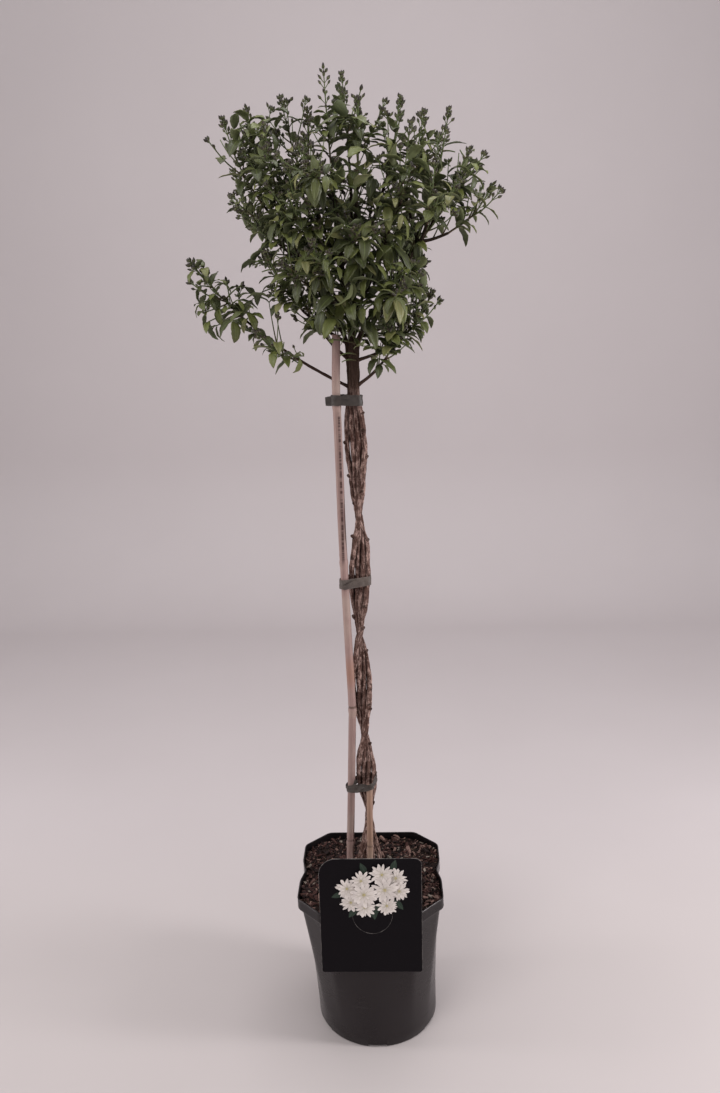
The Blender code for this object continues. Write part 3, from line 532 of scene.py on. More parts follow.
def add_twig(space, owner, spray, axis, s, turn, rng, leaf_length):
    # A short side twig with a pair of small leaves and a pair of buds.
    for _ in range(TWIG_TRIES):
        forward = tangent(axis, s)
        start = at(axis, s)
        lean = unit(forward * 0.8 + side_vector(forward, turn + rng.uniform(0, 2 * math.pi)) * 0.6)
        reach = rng.uniform(*TWIG_REACH)
        twig = bezier(start, start + lean * reach * 0.6, start + lean * reach + UP * 0.012, 3)
        total = lengths(twig)[-1]
        if not space.free(owner, onward(twig, 0.003, BALL_STEP), STEM_BALL, 0.001):
            continue
        space.add(owner, onward(twig, 0.0, BALL_STEP), STEM_BALL)
        spray["twigs"].append(twig)
        add_raceme(space, owner, spray, twig, rng, 1)
        for side in (0, 1):
            size = leaf_length * rng.uniform(*TWIG_LEAF)
            spray["leaves"] += try_leaf(space, owner, twig, total * 0.55, turn + side * math.pi, rng, size)
        return


def grow_spray(space, owner, name, axis, pairs, twigs, leaf_length):
    rng = random.Random(name)
    total = lengths(axis)[-1]
    spray = {"name": "spray_" + name, "axis": axis, "twigs": [], "leaves": [], "buds": []}
    turn = rng.uniform(0, math.pi)
    last = max(total - LEAFLESS_END, LAST_SHARE * total)
    first = min(FIRST_LEAF, FIRST_SHARE * last)
    add_raceme(space, owner, spray, axis, rng, 1)
    for _ in range(twigs):
        add_twig(space, owner, spray, axis, first + (last - first) * 0.45, turn, rng, leaf_length)
    for k, s in enumerate(np.linspace(first, last, pairs)):
        size = leaf_length * (1.0 - 0.28 * abs(k / max(1, pairs - 1) - 0.35)) * rng.uniform(0.9, 1.1)
        for side in (0, 1):
            angle = turn + k * math.pi / 2 + side * math.pi
            spray["leaves"] += try_leaf(space, owner, axis, s, angle, rng, size)
    return spray


def branch_route(mains, strand, leave, tip, bend):
    if leave is None:
        return leader_curve(stem_point(strand, FORK_HEIGHT), bend, tip, 25)
    main = mains[strand]
    start = at(main, float(np.interp(leave, main[:, 2], lengths(main))))
    return bezier(start, bend, tip, 25)


def fill_tips():
    tips = []
    for k in range(FILL_COUNT):
        share = (k + 0.5) / FILL_COUNT
        angle = GOLDEN_ANGLE * k + 0.6
        reach = FILL_REACHES[k % 2] * (0.80 + 0.35 * math.sin(math.pi * share * 0.9))
        x = FILL_CENTRE[0] + 0.8 * reach * math.cos(angle)
        y = FILL_CENTRE[1] + reach * math.sin(angle)
        tips.append(np.array((x, y, FILL_LOWEST + (FILL_HIGHEST - FILL_LOWEST) * share)))
    return tips


def fill_route(space, mains, tip):
    # The shortest clear way from a leader to the tip.
    best = None
    for strand, main in mains.items():
        for share in np.linspace(0.12, 0.62, 11):
            start = at(main, lengths(main)[-1] * share)
            reach = tip - start
            distance = float(np.linalg.norm(reach))
            if reach[2] < 0.02 or distance < 0.07:
                continue
            bend = start + reach * np.array((0.6, 0.6, 0.32))
            route = bezier(start, bend, tip, 25)
            total = lengths(route)[-1]
            if not space.free(strand, onward(route, 0.010, BALL_STEP), STEM_BALL, 0.002):
                continue
            if not space.free(-1, cut(route, total * FILL_SHARE, total, BALL_STEP), STEM_BALL, 0.002):
                continue
            cost = distance + 0.5 * abs(distance - 0.10)
            if best is None or cost < best[0]:
                best = (cost, strand, route)
    return best


def grow_wood(space):
    # The tubes of each stem and its branches, and the green shoots at the branches' ends.
    mains = {}
    routes = []
    for name, strand, leave, tip, bend, share in BRANCHES:
        route = branch_route(mains, strand, leave, tip, bend)
        if leave is None:
            mains[strand] = route
        routes.append((name, strand, route, share))
    wood = []
    for index in range(STEM_COUNT):
        stem = np.array([stem_point(index, z) for z in np.linspace(STEM_BOTTOM, FORK_HEIGHT, 28)])
        space.add(index, onward(stem, 0.0, STEM_BALL_STEP), STEM_RADIUS)
        main = mains[index]
        share = next(r[3] for r in routes if r[2] is main)
        woody = lengths(main)[-1] * share
        upper = cut(main, 0.0, woody, WOOD_STEP)
        space.add(index, onward(upper, 0.0, BALL_STEP), LEADER_RADIUS)
        radii = [STEM_RADIUS] * len(stem) + list(np.linspace(LEADER_RADIUS, WOOD_TIP_RADIUS, len(upper))[1:])
        wood.append([(np.vstack((stem, upper[1:])), radii, tangent(main, woody))])
    for name, strand, route, share in routes:
        if route is not mains[strand]:
            add_branch(space, wood, strand, route, share)
    shoots = []
    for name, strand, route, share in routes:
        add_shoot(space, shoots, name, strand, route, share)
    for k, tip in enumerate(fill_tips()):
        found = fill_route(space, mains, tip)
        if found:
            add_branch(space, wood, found[1], found[2], FILL_SHARE)
            add_shoot(space, shoots, f"fill_{k + 1:02d}", found[1], found[2], FILL_SHARE)
    return wood, shoots


def add_shoot(space, shoots, name, strand, route, share):
    # The green end of a branch, which starts a small gap past the wood.
    total = lengths(route)[-1]
    axis = cut(route, total * share + GAP, total - TIP_BUD_LENGTH, SHOOT_STEP)
    owner = FIRST_SPRAY + len(shoots)
    space.add(owner, onward(axis, 0.003, BALL_STEP), STEM_BALL)
    shoots.append({"owner": owner, "name": name, "axis": axis, "start": tangent(route, total * share),
                   "strand": strand, "route": route, "woody": total * share})


def add_branch(space, wood, strand, route, share):
    woody = lengths(route)[-1] * share
    path = cut(route, 0.0, woody, WOOD_STEP)
    radii = list(np.linspace(BRANCH_RADIUS, WOOD_TIP_RADIUS, len(path)))
    wood[strand].append((path, radii, tangent(route, woody)))
    space.add(strand, onward(path, 0.0, BALL_STEP), BRANCH_RADIUS)


def lateral_axis(space, strand, route, woody, rng):
    # A side shoot's axis, seated just off the branch's skin.
    for _ in range(SIDE_TRIES):
        s = woody * rng.uniform(*SIDE_PLACES)
        forward = tangent(route, s)
        out = side_vector(forward, rng.uniform(0, 2 * math.pi))
        lean = unit(forward * 0.6 + out * 0.8)
        start = at(route, s) + lean * ((BRANCH_RADIUS + GAP + 0.0008) / 0.8)
        reach = rng.uniform(*SIDE_REACH)
        axis = bezier(start, start + lean * reach * 0.55, start + lean * reach + UP * 0.022, 4)
        clear = space.free(strand, onward(axis, 0.003, BALL_STEP), STEM_BALL, 0.002)
        away = onward(axis, 0.009, BALL_STEP)
        if lean[2] > -0.1 and clear and space.free(-1, away, STEM_BALL, 0.0022):
            return axis
    return None


def grow_crown(space):
    wood, shoots = grow_wood(space)
    sprays = []
    for shoot in shoots:
        pairs = int(max(2, min(3, round(lengths(shoot["axis"])[-1] / PAIR_SPACING))))
        twigs = 0 if shoot["name"].startswith("fill") else 1
        spray = grow_spray(space, shoot["owner"], shoot["name"], shoot["axis"], pairs, twigs, LEAF_LENGTH)
        spray["start"] = shoot["start"]
        spray["owner"] = shoot["owner"]
        sprays.append(spray)
    for shoot in shoots:
        if shoot["woody"] < 0.05 or len(sprays) >= SPRAY_LIMIT:
            continue
        name = "side_" + shoot["name"]
        axis = lateral_axis(space, shoot["strand"], shoot["route"], shoot["woody"], random.Random(name))
        if axis is not None:
            owner = FIRST_SPRAY + len(shoots) + len(sprays)
            space.add(owner, onward(axis, 0.003, BALL_STEP), STEM_BALL)
            spray = grow_spray(space, owner, name, axis, 2, 0, LEAF_LENGTH * 0.93)
            spray["start"] = unit(axis[1] - axis[0])
            spray["owner"] = owner
            sprays.append(spray)
    return wood, sprays


# Camera
CAMERA_PLACE = np.array((0.0273, -1.0121, 0.8643))
CAMERA_FORWARD = unit((-0.0320, 0.9744, -0.2225))
CAMERA_RIGHT = unit(np.cross(CAMERA_FORWARD, (0.0187, 0.2232, 0.9746)))
CAMERA_UP = np.cross(CAMERA_RIGHT, CAMERA_FORWARD)
LENS = 28.71
SENSOR = 36.0
PICTURE = (720, 1093)

# The crown's outline and the openings in it, in the picture's pixels. Added leaves keep to it.
CROWN_OUTLINE = (
    (178, 248), (190, 246), (212, 262), (214, 276), (232, 284), (240, 270), (236, 262), (243, 250),
    (256, 252), (262, 244), (252, 236), (232, 226), (236, 214), (224, 206), (228, 190), (226, 176),
    (212, 166), (216, 150), (216, 104), (228, 102), (240, 94), (252, 106), (266, 104), (272, 90), (286, 92),
    (288, 114), (300, 118), (312, 110), (314, 66), (330, 64), (334, 68), (348, 66), (352, 88), (362, 98),
    (364, 116), (376, 114), (384, 96), (394, 88), (406, 92), (408, 120), (422, 118), (426, 104), (436, 116),
    (444, 100), (456, 104), (458, 122), (450, 134), (466, 140), (478, 146), (478, 158), (492, 172),
    (502, 176), (502, 188), (490, 194), (498, 216), (492, 222), (482, 210), (484, 230), (466, 240),
    (458, 228), (446, 232), (436, 250), (428, 258), (428, 274), (441, 290), (436, 306), (427, 310),
    (428, 352), (414, 346), (402, 374), (368, 382), (362, 346), (352, 352), (346, 352), (330, 344),
    (318, 336), (322, 366), (306, 350), (300, 372), (282, 380), (268, 368), (250, 356), (246, 338),
    (232, 346), (218, 342), (206, 334), (194, 330), (192, 300), (186, 284))
OPENINGS = (
    (325, 152, 7, 9), (342, 150, 4, 8), (381, 154, 6, 6), (430, 234, 10, 10), (300, 280, 6, 6),
    (307, 311, 4, 6), (312, 346, 9, 14), (286, 326, 16, 12), (259, 273, 6, 4), (267, 288, 8, 5),
    (228, 300, 8, 5), (284, 250, 5, 8), (310, 128, 6, 5), (295, 138, 12, 10), (225, 167, 9, 11),
    (303, 161, 9, 6), (358, 160, 7, 6), (231, 194, 6, 10), (265, 307, 7, 6), (206, 292, 5, 8),
    (424, 214, 6, 4), (452, 220, 5, 5), (344, 196, 5, 6), (443, 218, 4, 6), (424, 199, 5, 5),
    (404, 353, 4, 5), (292, 349, 6, 4), (378, 175, 5, 4), (437, 135, 6, 5), (442, 172, 4, 3),
    (402, 131, 7, 9), (408, 114, 10, 10), (456, 153, 8, 9), (355, 96, 9, 12), (296, 100, 9, 16),
    (270, 363, 12, 9))

# Thinner parts of the crown: pixel x and y, half width, half height, and the share of added leaves kept.
THIN_PARTS = (
    (295, 148, 26, 24, 0.25), (283, 128, 12, 14, 0.45), (355, 104, 14, 14, 0.2), (305, 96, 14, 16, 0.2),
    (400, 126, 16, 14, 0.3), (440, 130, 14, 14, 0.4), (440, 168, 16, 24, 0.35), (222, 180, 14, 26, 0.3),
    (244, 212, 14, 18, 0.35), (420, 206, 14, 14, 0.4), (482, 206, 18, 20, 0.25), (318, 168, 12, 12, 0.4),
    (284, 266, 14, 16, 0.5), (224, 286, 12, 14, 0.4), (290, 330, 22, 16, 0.2), (282, 366, 16, 14, 0.2),
    (340, 190, 14, 14, 0.5))

# Shoots that reach set places: pixel x and y, y of the place in mm, leaf pairs, leaf length in mm, the
# leaves' rise in hundredths, and pairs of buds.
REACHES = (
    (318, 130, -15, 1, 32, 35, 0), (336, 120, -30, 2, 34, 30, 0), (352, 118, -40, 1, 34, 10, 0),
    (366, 150, -50, 1, 30, 10, 0), (386, 136, -30, 2, 30, 10, 0), (384, 166, -40, 2, 30, 20, 0),
    (464, 190, 0, 2, 28, 15, 0), (455, 152, 5, 1, 30, 10, 0), (356, 188, -70, 2, 30, 0, 0),
    (346, 226, -75, 1, 36, 5, 0), (372, 262, -60, 1, 36, -35, 0), (392, 246, -50, 2, 34, -20, 0),
    (352, 282, -65, 1, 36, -40, 0), (334, 296, -55, 1, 34, -40, 0), (350, 306, -60, 1, 34, -60, 0),
    (336, 318, -50, 1, 38, -75, 0), (322, 318, -30, 1, 30, -80, 0), (366, 322, -40, 1, 32, -50, 0),
    (386, 336, -30, 2, 32, -50, 0), (402, 344, -15, 2, 28, -50, 0), (396, 312, -35, 2, 28, 0, 0),
    (414, 328, -10, 2, 26, -20, 0), (414, 288, -30, 2, 28, 10, 1), (424, 306, -10, 2, 24, 0, 1),
    (404, 270, -45, 2, 28, -10, 0), (380, 296, -55, 2, 30, -20, 0), (206, 312, -20, 2, 24, -20, 0),
    (232, 320, -30, 1, 27, -70, 0), (200, 286, -20, 2, 22, 0, 0), (226, 300, -10, 2, 24, 10, 1),
    (248, 318, -20, 2, 24, -30, 0), (268, 298, -30, 1, 28, 0, 0), (278, 304, -20, 1, 26, -50, 0),
    (256, 334, -15, 1, 25, -70, 0), (272, 346, -15, 1, 20, -60, 0), (292, 362, -15, 1, 20, -40, 0),
    (304, 356, -30, 1, 18, -10, 0), (284, 342, -20, 1, 18, 20, 0), (216, 326, -5, 1, 24, -60, 0),
    (240, 306, 5, 2, 24, 0, 0), (212, 296, 10, 2, 22, 0, 0), (240, 286, -20, 2, 26, 0, 1),
    (240, 140, -40, 2, 28, 10, 0), (262, 140, -30, 2, 30, 10, 0), (248, 122, -20, 2, 24, 20, 0),
    (262, 250, -30, 2, 26, 10, 1), (256, 170, -50, 2, 28, 0, 0), (240, 192, -20, 2, 26, 0, 1),
    (264, 196, -45, 2, 28, 0, 0), (250, 218, -10, 1, 26, -10, 0), (278, 222, -60, 2, 28, 0, 0),
    (300, 206, -60, 2, 28, 0, 0), (306, 232, -60, 2, 30, 0, 0), (320, 180, -50, 2, 28, 0, 0),
    (342, 172, -30, 2, 28, 10, 0), (344, 204, -55, 2, 30, 0, 0), (322, 252, -70, 2, 30, 0, 0),
    (304, 262, -50, 2, 28, 0, 0), (318, 280, -50, 2, 28, -20, 0), (270, 262, -30, 1, 24, 0, 1),
    (288, 284, -30, 1, 26, -20, 0), (396, 176, -50, 2, 28, 0, 0), (412, 160, -40, 2, 28, 10, 0),
    (424, 284, -20, 2, 26, 0, 1), (418, 200, -45, 2, 28, 0, 0), (440, 194, -15, 2, 26, 0, 1),
    (458, 186, -10, 2, 26, 10, 0), (470, 172, 0, 2, 24, 10, 1), (476, 204, -5, 2, 26, -10, 0),
    (456, 208, -20, 2, 26, 0, 0), (488, 194, 5, 1, 26, -20, 0), (402, 214, -60, 2, 28, 0, 0),
    (376, 206, -60, 2, 28, 0, 0), (372, 236, -60, 2, 30, 0, 0), (396, 232, -40, 2, 28, 0, 0),
    (416, 244, -20, 1, 26, 0, 0), (372, 176, -40, 2, 28, 10, 0), (238, 300, -30, 2, 26, -10, 0),
    (246, 312, -30, 1, 26, -30, 0), (200, 304, -25, 2, 24, -10, 0), (196, 270, -20, 1, 20, 10, 1),
    (208, 322, -20, 1, 24, -50, 0), (316, 300, -50, 2, 28, -10, 0), (324, 310, -50, 2, 28, -30, 0),
    (310, 322, -40, 1, 26, -60, 0), (430, 294, -10, 2, 24, 0, 0), (418, 270, -30, 2, 26, 0, 0),
    (378, 358, -20, 1, 26, -60, 0), (388, 350, -20, 2, 26, -40, 0), (340, 356, -45, 1, 30, -80, 0),
    (300, 358, -25, 1, 22, -30, 0), (358, 264, -60, 2, 30, -10, 0), (368, 276, -60, 2, 30, -20, 0),
    (382, 268, -50, 2, 28, -10, 0), (452, 184, -10, 2, 28, 10, 0), (468, 160, 5, 2, 24, 20, 1),
    (256, 262, -30, 1, 26, 0, 1), (330, 340, -50, 1, 32, -80, 0), (280, 152, -30, 2, 26, 10, 0),
    (460, 150, 0, 2, 26, 10, 0), (422, 150, -30, 2, 28, 10, 0), (262, 128, -20, 2, 26, 10, 0),
    (242, 128, -30, 2, 26, 10, 0), (362, 308, -60, 2, 30, -20, 0), (262, 272, -30, 2, 26, 0, 0),
    (262, 292, -30, 2, 26, -10, 0), (204, 268, -20, 2, 20, 0, 0), (380, 364, -20, 1, 26, -50, 0),
    (302, 366, -20, 1, 20, -30, 0), (342, 362, -40, 1, 28, -70, 0), (362, 346, -45, 1, 30, -60, 0),
    (400, 348, -20, 2, 26, -30, 0), (464, 198, -5, 2, 28, 0, 0))

# Fine pieces. A shoot rises past its solid's tip: the two tallest by the first values, others by TOP_RISE
# near the crown's top and SHOOT_RISE below it.
TALL_SHOOTS = {"spray_top_leader": 0.0085, "spray_top_middle": 0.0095}
TOP_RISE = 0.0050
SHOOT_RISE = 0.0022
CROWN_TOP = 1.05
FINE_STEP = 0.005
FINE_CLEAR = 0.0009
FINE_BALL = 0.0010
FINE_OLD_BALL = 0.0013
TWIG_BALL = 0.0009
TWIG_SIDES = 6
TWIG_RADII = (0.0009, 0.0006)
REACH_RADII = (0.0010, 0.0006)
TWIG_END_RADIUS = 0.0005
FINE_TWIG_TRIES = 7
FINE_TWIG_REACH = (0.022, 0.042)
FINE_TWIG_LEAF = 0.74
NODE_LEAF = (0.62, 1.05)
YOUNG_FROM = 0.045
STEM_STEP = 0.0022
BRANCH_STEP = 0.004
BOX_MARGIN = 0.0012
FINE_SPREAD = (48, 72)
FINE_ASPECT = (0.34, 0.50)
FINE_FOLD = (5, 14)
FINE_ARCH = (0.7, 1.6)
STALKED_LEAN = (24, 44)
STALKED_STALKS = (0.0036, 0.0078)
STALKED_LENGTHS = (0.0044, 0.0058)
STALKED_RADII = (0.0013, 0.0017)
END_STALK = 0.0022
END_LENGTHS = (0.0048, 0.0058)
END_RADII = (0.0014, 0.0017)
CLOSE_LEAN = (20, 38)
CLOSE_STALKS = (0.0024, 0.0038)
CLOSE_LENGTHS = (0.0046, 0.0056)
CLOSE_RADII = (0.0014, 0.0018)
CLOSE_STEP = 0.0034
RACEME_START = 0.0095
RACEME_STEP = 0.0074
YOUNG_SIZES = (0.012, 0.019)
YOUNG_START = 0.034
YOUNG_STEP = 0.007
BARE_END = 0.044
LOWEST_SHOOT = 0.838
WOOD_SHOOT_REACH = (0.016, 0.040)
WOOD_SHOOT_STEP = (0.008, 0.016)
LEAF_STALK = (0.00055, 0.00045, 0.0002)
BUD_STALK = (0.00042, 0.0004, 0.0006)
BUD_SIDES = 8
BLADE_U = np.array((0.07, 0.12, 0.19, 0.27, 0.36, 0.45, 0.54, 0.63, 0.72, 0.81, 0.89, 0.95))
BLADE_V = (-1.0, -0.5, 0.0, 0.5, 1.0)
BLADE_HALF_THICKNESS = 0.00015
TOOTH = 0.045
RIPPLES = 2.6
RIPPLE_DEPTH = 0.045
FOLD_DRAWN = 1.9
BUD_PROFILE = ((0.0, 0.30), (0.15, 0.78), (0.38, 1.00), (0.64, 0.82), (0.86, 0.38), (1.0, 0.06))


class Shape:
    # Gathers points, faces, material places and per-point marks, and makes one object of them.
    def __init__(self):
        self.points = []
        self.marks = []
        self.flows = []
        self.faces = []
        self.places = []
        self.count = 0

    def add(self, points, faces, place=0, mark=(0.0, 0.0, 0.0), flow=(0.0, 0.0, 0.0)):
        points = np.asarray(points, float)
        base = self.count
        self.points.append(points)
        self.marks.append(np.broadcast_to(np.asarray(mark, float), points.shape))
        self.flows.append(np.broadcast_to(np.asarray(flow, float), points.shape))
        self.faces += [tuple([base + k for k in face]) for face in faces]
        self.places += [place] * len(faces)
        self.count += len(points)

    def deepen(self, depth):
        # Sets the second mark of the points added last, which darkens the bark: painted shade in the crevices
        # between stems, fixed amounts in the crown and on the knots.
        marks = self.marks[-1].copy()
        marks[:, 1] = depth
        self.marks[-1] = marks

    def make(self, name, looks, sharp=None):
        mesh = bpy.data.meshes.new(name)
        mesh.from_pydata(np.vstack(self.points).tolist(), [], self.faces)
        for look in looks:
            mesh.materials.append(look)
        mesh.polygons.foreach_set("material_index", self.places)
        for label, rows in (("mark", self.marks), ("flow", self.flows)):
            layer = mesh.attributes.new(label, "FLOAT_VECTOR", "POINT")
            layer.data.foreach_set("vector", np.vstack(rows).ravel())
        mesh.shade_smooth()
        if sharp:
            mesh.set_sharp_from_angle(angle=math.radians(sharp))
        mesh.update()
        made = bpy.data.objects.new(name, mesh)
        bpy.context.scene.collection.objects.link(made)
        return made


def frames(path, start=None):
    # Forward, side and other direction at each point of a path, carried along without twisting.
    forward = np.empty_like(path)
    forward[1:-1] = path[2:] - path[:-2]
    forward[0] = path[1] - path[0]
    forward[-1] = path[-1] - path[-2]
    forward /= np.linalg.norm(forward, axis=1)[:, None]
    if start is not None:
        forward[0] = start
    side = unit(np.cross(forward[0], (0.31, 0.95, 0.05)))
    sides = []
    for f in forward:
        side = square_to(side, f)
        sides.append(side)
    sides = np.array(sides)
    return forward, sides, np.cross(forward, sides)


def round_tube(shape, path, radii, sides, place=0, tint=0.0, relief=None, start=None):
    # A closed tube. relief(angle, s) scales the radius.
    # Marks are the tint, the share of the length and the share of the turn.
    path = np.asarray(path, float)
    rows = len(path)
    _, first, second = frames(path, start)
    run = lengths(path)
    angles = np.arange(sides) * 2 * math.pi / sides
    ring = np.repeat(np.asarray(radii, float)[:, None], sides, axis=1)
    if relief is not None:
        ring *= np.array([[relief(a, s) for a in angles] for s in run])
    spokes = first[:, None] * np.cos(angles)[None, :, None] + second[:, None] * np.sin(angles)[None, :, None]
    points = (path[:, None] + ring[..., None] * spokes).reshape(-1, 3)
    marks = np.column_stack((np.full(len(points), tint), np.repeat(run / max(run[-1], 1e-9), sides),
                             np.tile(angles / (2 * math.pi), rows)))
    flows = np.column_stack((np.tile(np.cos(angles), rows), np.tile(np.sin(angles), rows),
                             np.repeat(run, sides)))
    shape.add(points, skin_faces(rows, sides), place, marks, flows)


def smooth_path(path, step):
    # A smooth curve through the given points.
    path = np.asarray(path, float)
    if len(path) < 3:
        return onward(path, 0.0, step)
    run = lengths(path)
    slopes = np.gradient(path, run, axis=0)
    s = np.linspace(0.0, run[-1], max(4, int(math.ceil(run[-1] / step)) + 1))
    k = np.clip(np.searchsorted(run, s) - 1, 0, len(path) - 2)
    span = (run[k + 1] - run[k])[:, None]
    t = (s - run[k])[:, None] / span
    return ((1 + 2 * t) * (1 - t) ** 2 * path[k] + t * (1 - t) ** 2 * span * slopes[k]
            + t * t * (3 - 2 * t) * path[k + 1] + t * t * (t - 1) * span * slopes[k + 1])


def blade_rows(leaf, u, v, lift):
    # Points of a fine blade: rippled, folded along the rib, with small teeth.
    bend = leaf["arch"] * u
    reach = leaf["length"] / leaf["arch"]
    centre = leaf["base"] + np.outer(np.sin(bend), leaf["along"]) * reach
    centre -= np.outer(1 - np.cos(bend), leaf["normal"]) * reach
    normal = np.outer(np.cos(bend), leaf["normal"]) + np.outer(np.sin(bend), leaf["along"])
    side = np.cross(leaf["along"], leaf["normal"])
    half = np.array([max(0.5 * leaf["width"] * leaf_width(x), 0.0004) for x in u])
    teeth = np.where((np.arange(len(u)) % 2 == 0) & (u > 0.2), 1.0 + TOOTH, 1.0 - TOOTH)
    half_out = half * np.where(abs(v) > 0.99, teeth, 1.0)
    fold = leaf["fold"] * FOLD_DRAWN
    wave = np.sin(2 * math.pi * (RIPPLES * u + leaf["phase"])) * np.sin(math.pi * u)
    ripple = RIPPLE_DEPTH * leaf["width"] * wave * abs(v)
    rise = half * abs(v) * math.sin(fold) * (1.0 - 0.30 * abs(v)) + ripple + lift
    twist = leaf["twist"] * u
    across = side[None] * np.cos(twist)[:, None] + normal * np.sin(twist)[:, None]
    upward = normal * np.cos(twist)[:, None] - side[None] * np.sin(twist)[:, None]
    return centre + across * (half_out * v * math.cos(fold))[:, None] + upward * rise[:, None]


def blade_faces():
    # Faces of a closed blade: the upper skin with the rim, and the under skin.
    rows = len(BLADE_U)
    columns = len(BLADE_V)
    low = rows * columns
    end = 2 * low
    last = (rows - 1) * columns
    far = columns - 1
    top = grid_faces(rows, columns, closed=False)
    top += [(last + c, last + c + 1, end) for c in range(far)]
    under = [tuple(end if k == end else k + low for k in reversed(face)) for face in top]
    rim = [(last, end, last + low), (end, last + far, last + far + low)]
    for r in range(rows - 1):
        a = r * columns
        rim.append((a, a + columns, a + columns + low, a + low))
        rim.append((a + columns + far, a + far, a + far + low, a + columns + far + low))
    rim += [(c + 1, c, c + low, c + 1 + low) for c in range(far)]
    return top + rim, under


BLADE_TOP, BLADE_UNDER = blade_faces()
TOP, UNDER, STALK, BUD = range(4)


def add_leaf(shape, leaf):
    columns = len(BLADE_V)
    skins = []
    for lift in (BLADE_HALF_THICKNESS, -BLADE_HALF_THICKNESS):
        skins.append(np.stack([blade_rows(leaf, BLADE_U, v, lift) for v in BLADE_V], axis=1).reshape(-1, 3))
    tip = blade_rows(leaf, np.array([1.0]), 0.0, 0.0)
    marks = np.column_stack((np.full(len(skins[0]), leaf["tint"]), np.repeat(BLADE_U, columns),
                             np.tile(BLADE_V, len(BLADE_U))))
    marks = np.vstack((marks, marks, (leaf["tint"], 1.0, 0.0)))
    base = shape.count
    shape.add(np.vstack((*skins, tip)), BLADE_TOP, TOP, marks)
    shape.faces += [tuple([base + k for k in face]) for face in BLADE_UNDER]
    shape.places += [UNDER] * len(BLADE_UNDER)
    root = leaf["base"] - leaf["along"] * 0.0006
    stalk = np.vstack((root, blade_rows(leaf, np.array([0.05, 0.16]), 0.0, -0.0001)))
    round_tube(shape, stalk, LEAF_STALK, 4, STALK, leaf["tint"])


def add_bud(shape, bud):
    # A bud on its stalk: four sepals pressed together to a point.
    base, along = bud["base"], bud["along"]
    foot = base + along * bud["stalk"]
    length = bud["length"]
    side = side_vector(along, bud["tint"] * 3.0)
    other = np.cross(along, side)
    stalk = np.array((base, base + along * bud["stalk"] * 0.6, foot + along * length * 0.05))
    round_tube(shape, stalk, BUD_STALK, 5, STALK, bud["tint"])
    angles = np.arange(BUD_SIDES) * 2 * math.pi / BUD_SIDES
    spokes = np.outer(np.cos(angles), side) + np.outer(np.sin(angles), other)
    rings = []
    for t, r in BUD_PROFILE:
        scale = bud["radius"] * r * (1.0 + 0.08 * np.cos(4 * angles) * math.sin(math.pi * t))
        rings.append(foot + along * length * t + scale[:, None] * spokes)
    points = np.vstack(rings)
    share = np.repeat([t for t, _ in BUD_PROFILE], BUD_SIDES)
    around = np.tile(angles / (2 * math.pi), len(rings))
    marks = np.column_stack((np.full(len(points), bud["tint"]), share, around))
    shape.add(points, skin_faces(len(rings), BUD_SIDES), BUD, marks)


def inside_box(points):
    points = np.atleast_2d(points)
    low = np.array(CAD_BOX[0]) - BOX_MARGIN
    high = np.array(CAD_BOX[1]) + BOX_MARGIN
    return bool(np.all(points > low) and np.all(points < high))


def seen(points):
    # Where points appear in the camera's picture.
    away = np.atleast_2d(points) - CAMERA_PLACE
    scale = LENS / SENSOR * PICTURE[1] / (away @ CAMERA_FORWARD)
    x = PICTURE[0] / 2 + scale * (away @ CAMERA_RIGHT)
    y = PICTURE[1] / 2 - scale * (away @ CAMERA_UP)
    return np.column_stack((x, y))


def from_picture(x, y, deep):
    # The point that appears at a pixel of the picture, in the upright plane at y = deep.
    scale = LENS / SENSOR * PICTURE[1]
    right = (x - PICTURE[0] / 2) / scale
    up = (PICTURE[1] / 2 - y) / scale
    ray = CAMERA_FORWARD + CAMERA_RIGHT * right + CAMERA_UP * up
    return CAMERA_PLACE + ray * ((deep - CAMERA_PLACE[1]) / ray[1])


def in_outline(spots):
    corners = np.array(CROWN_OUTLINE, float)
    ahead = np.roll(corners, -1, axis=0)
    x, y = spots[:, :1], spots[:, 1:]
    spans = (corners[:, 1] > y) != (ahead[:, 1] > y)
    drop = np.where(ahead[:, 1] == corners[:, 1], 1.0, ahead[:, 1] - corners[:, 1])
    cross = corners[:, 0] + (y - corners[:, 1]) * (ahead[:, 0] - corners[:, 0]) / drop
    return (spans & (x < cross)).sum(axis=1) % 2 == 1


def in_crown(points):
    # Added leaves stay inside the crown's outline and out of its openings.
    spots = seen(points)
    if not in_outline(spots).all():
        return False
    for x, y, wide, high in OPENINGS:
        if (((spots[:, 0] - x) / wide) ** 2 + ((spots[:, 1] - y) / high) ** 2 < 1.0).any():
            return False
    return True


def spared(leaf, rng):
    # Fewer leaves are added in the crown's thinner parts.
    spot = seen(leaf_point(leaf, 0.5, 0.0))[0]
    for x, y, wide, high, share in THIN_PARTS:
        if ((spot[0] - x) / wide) ** 2 + ((spot[1] - y) / high) ** 2 < 1.0 and rng.random() > share:
            return True
    return False


def dress(leaf, rng):
    leaf["tint"] = rng.random()
    leaf["phase"] = rng.random()
    leaf["twist"] = rng.uniform(-0.5, 0.5)
    return leaf


def fine_leaf(axis, s, angle, rng, length, lift):
    # A leaf held nearly level that hooks down towards its point. lift raises or lowers it.
    forward = tangent(axis, s)
    out = side_vector(forward, angle)
    spread = math.radians(rng.uniform(*FINE_SPREAD))
    along = unit(forward * math.cos(spread) + out * math.sin(spread) + UP * (lift + rng.uniform(-0.2, 0.2)))
    normal = square_to(forward * 0.3 + UP * 0.9 + out * rng.uniform(-0.3, 0.3), along)
    return {"base": at(axis, s), "along": along, "normal": normal, "length": length,
            "width": length * rng.uniform(*FINE_ASPECT), "fold": math.radians(rng.uniform(*FINE_FOLD)),
            "arch": rng.uniform(*FINE_ARCH)}


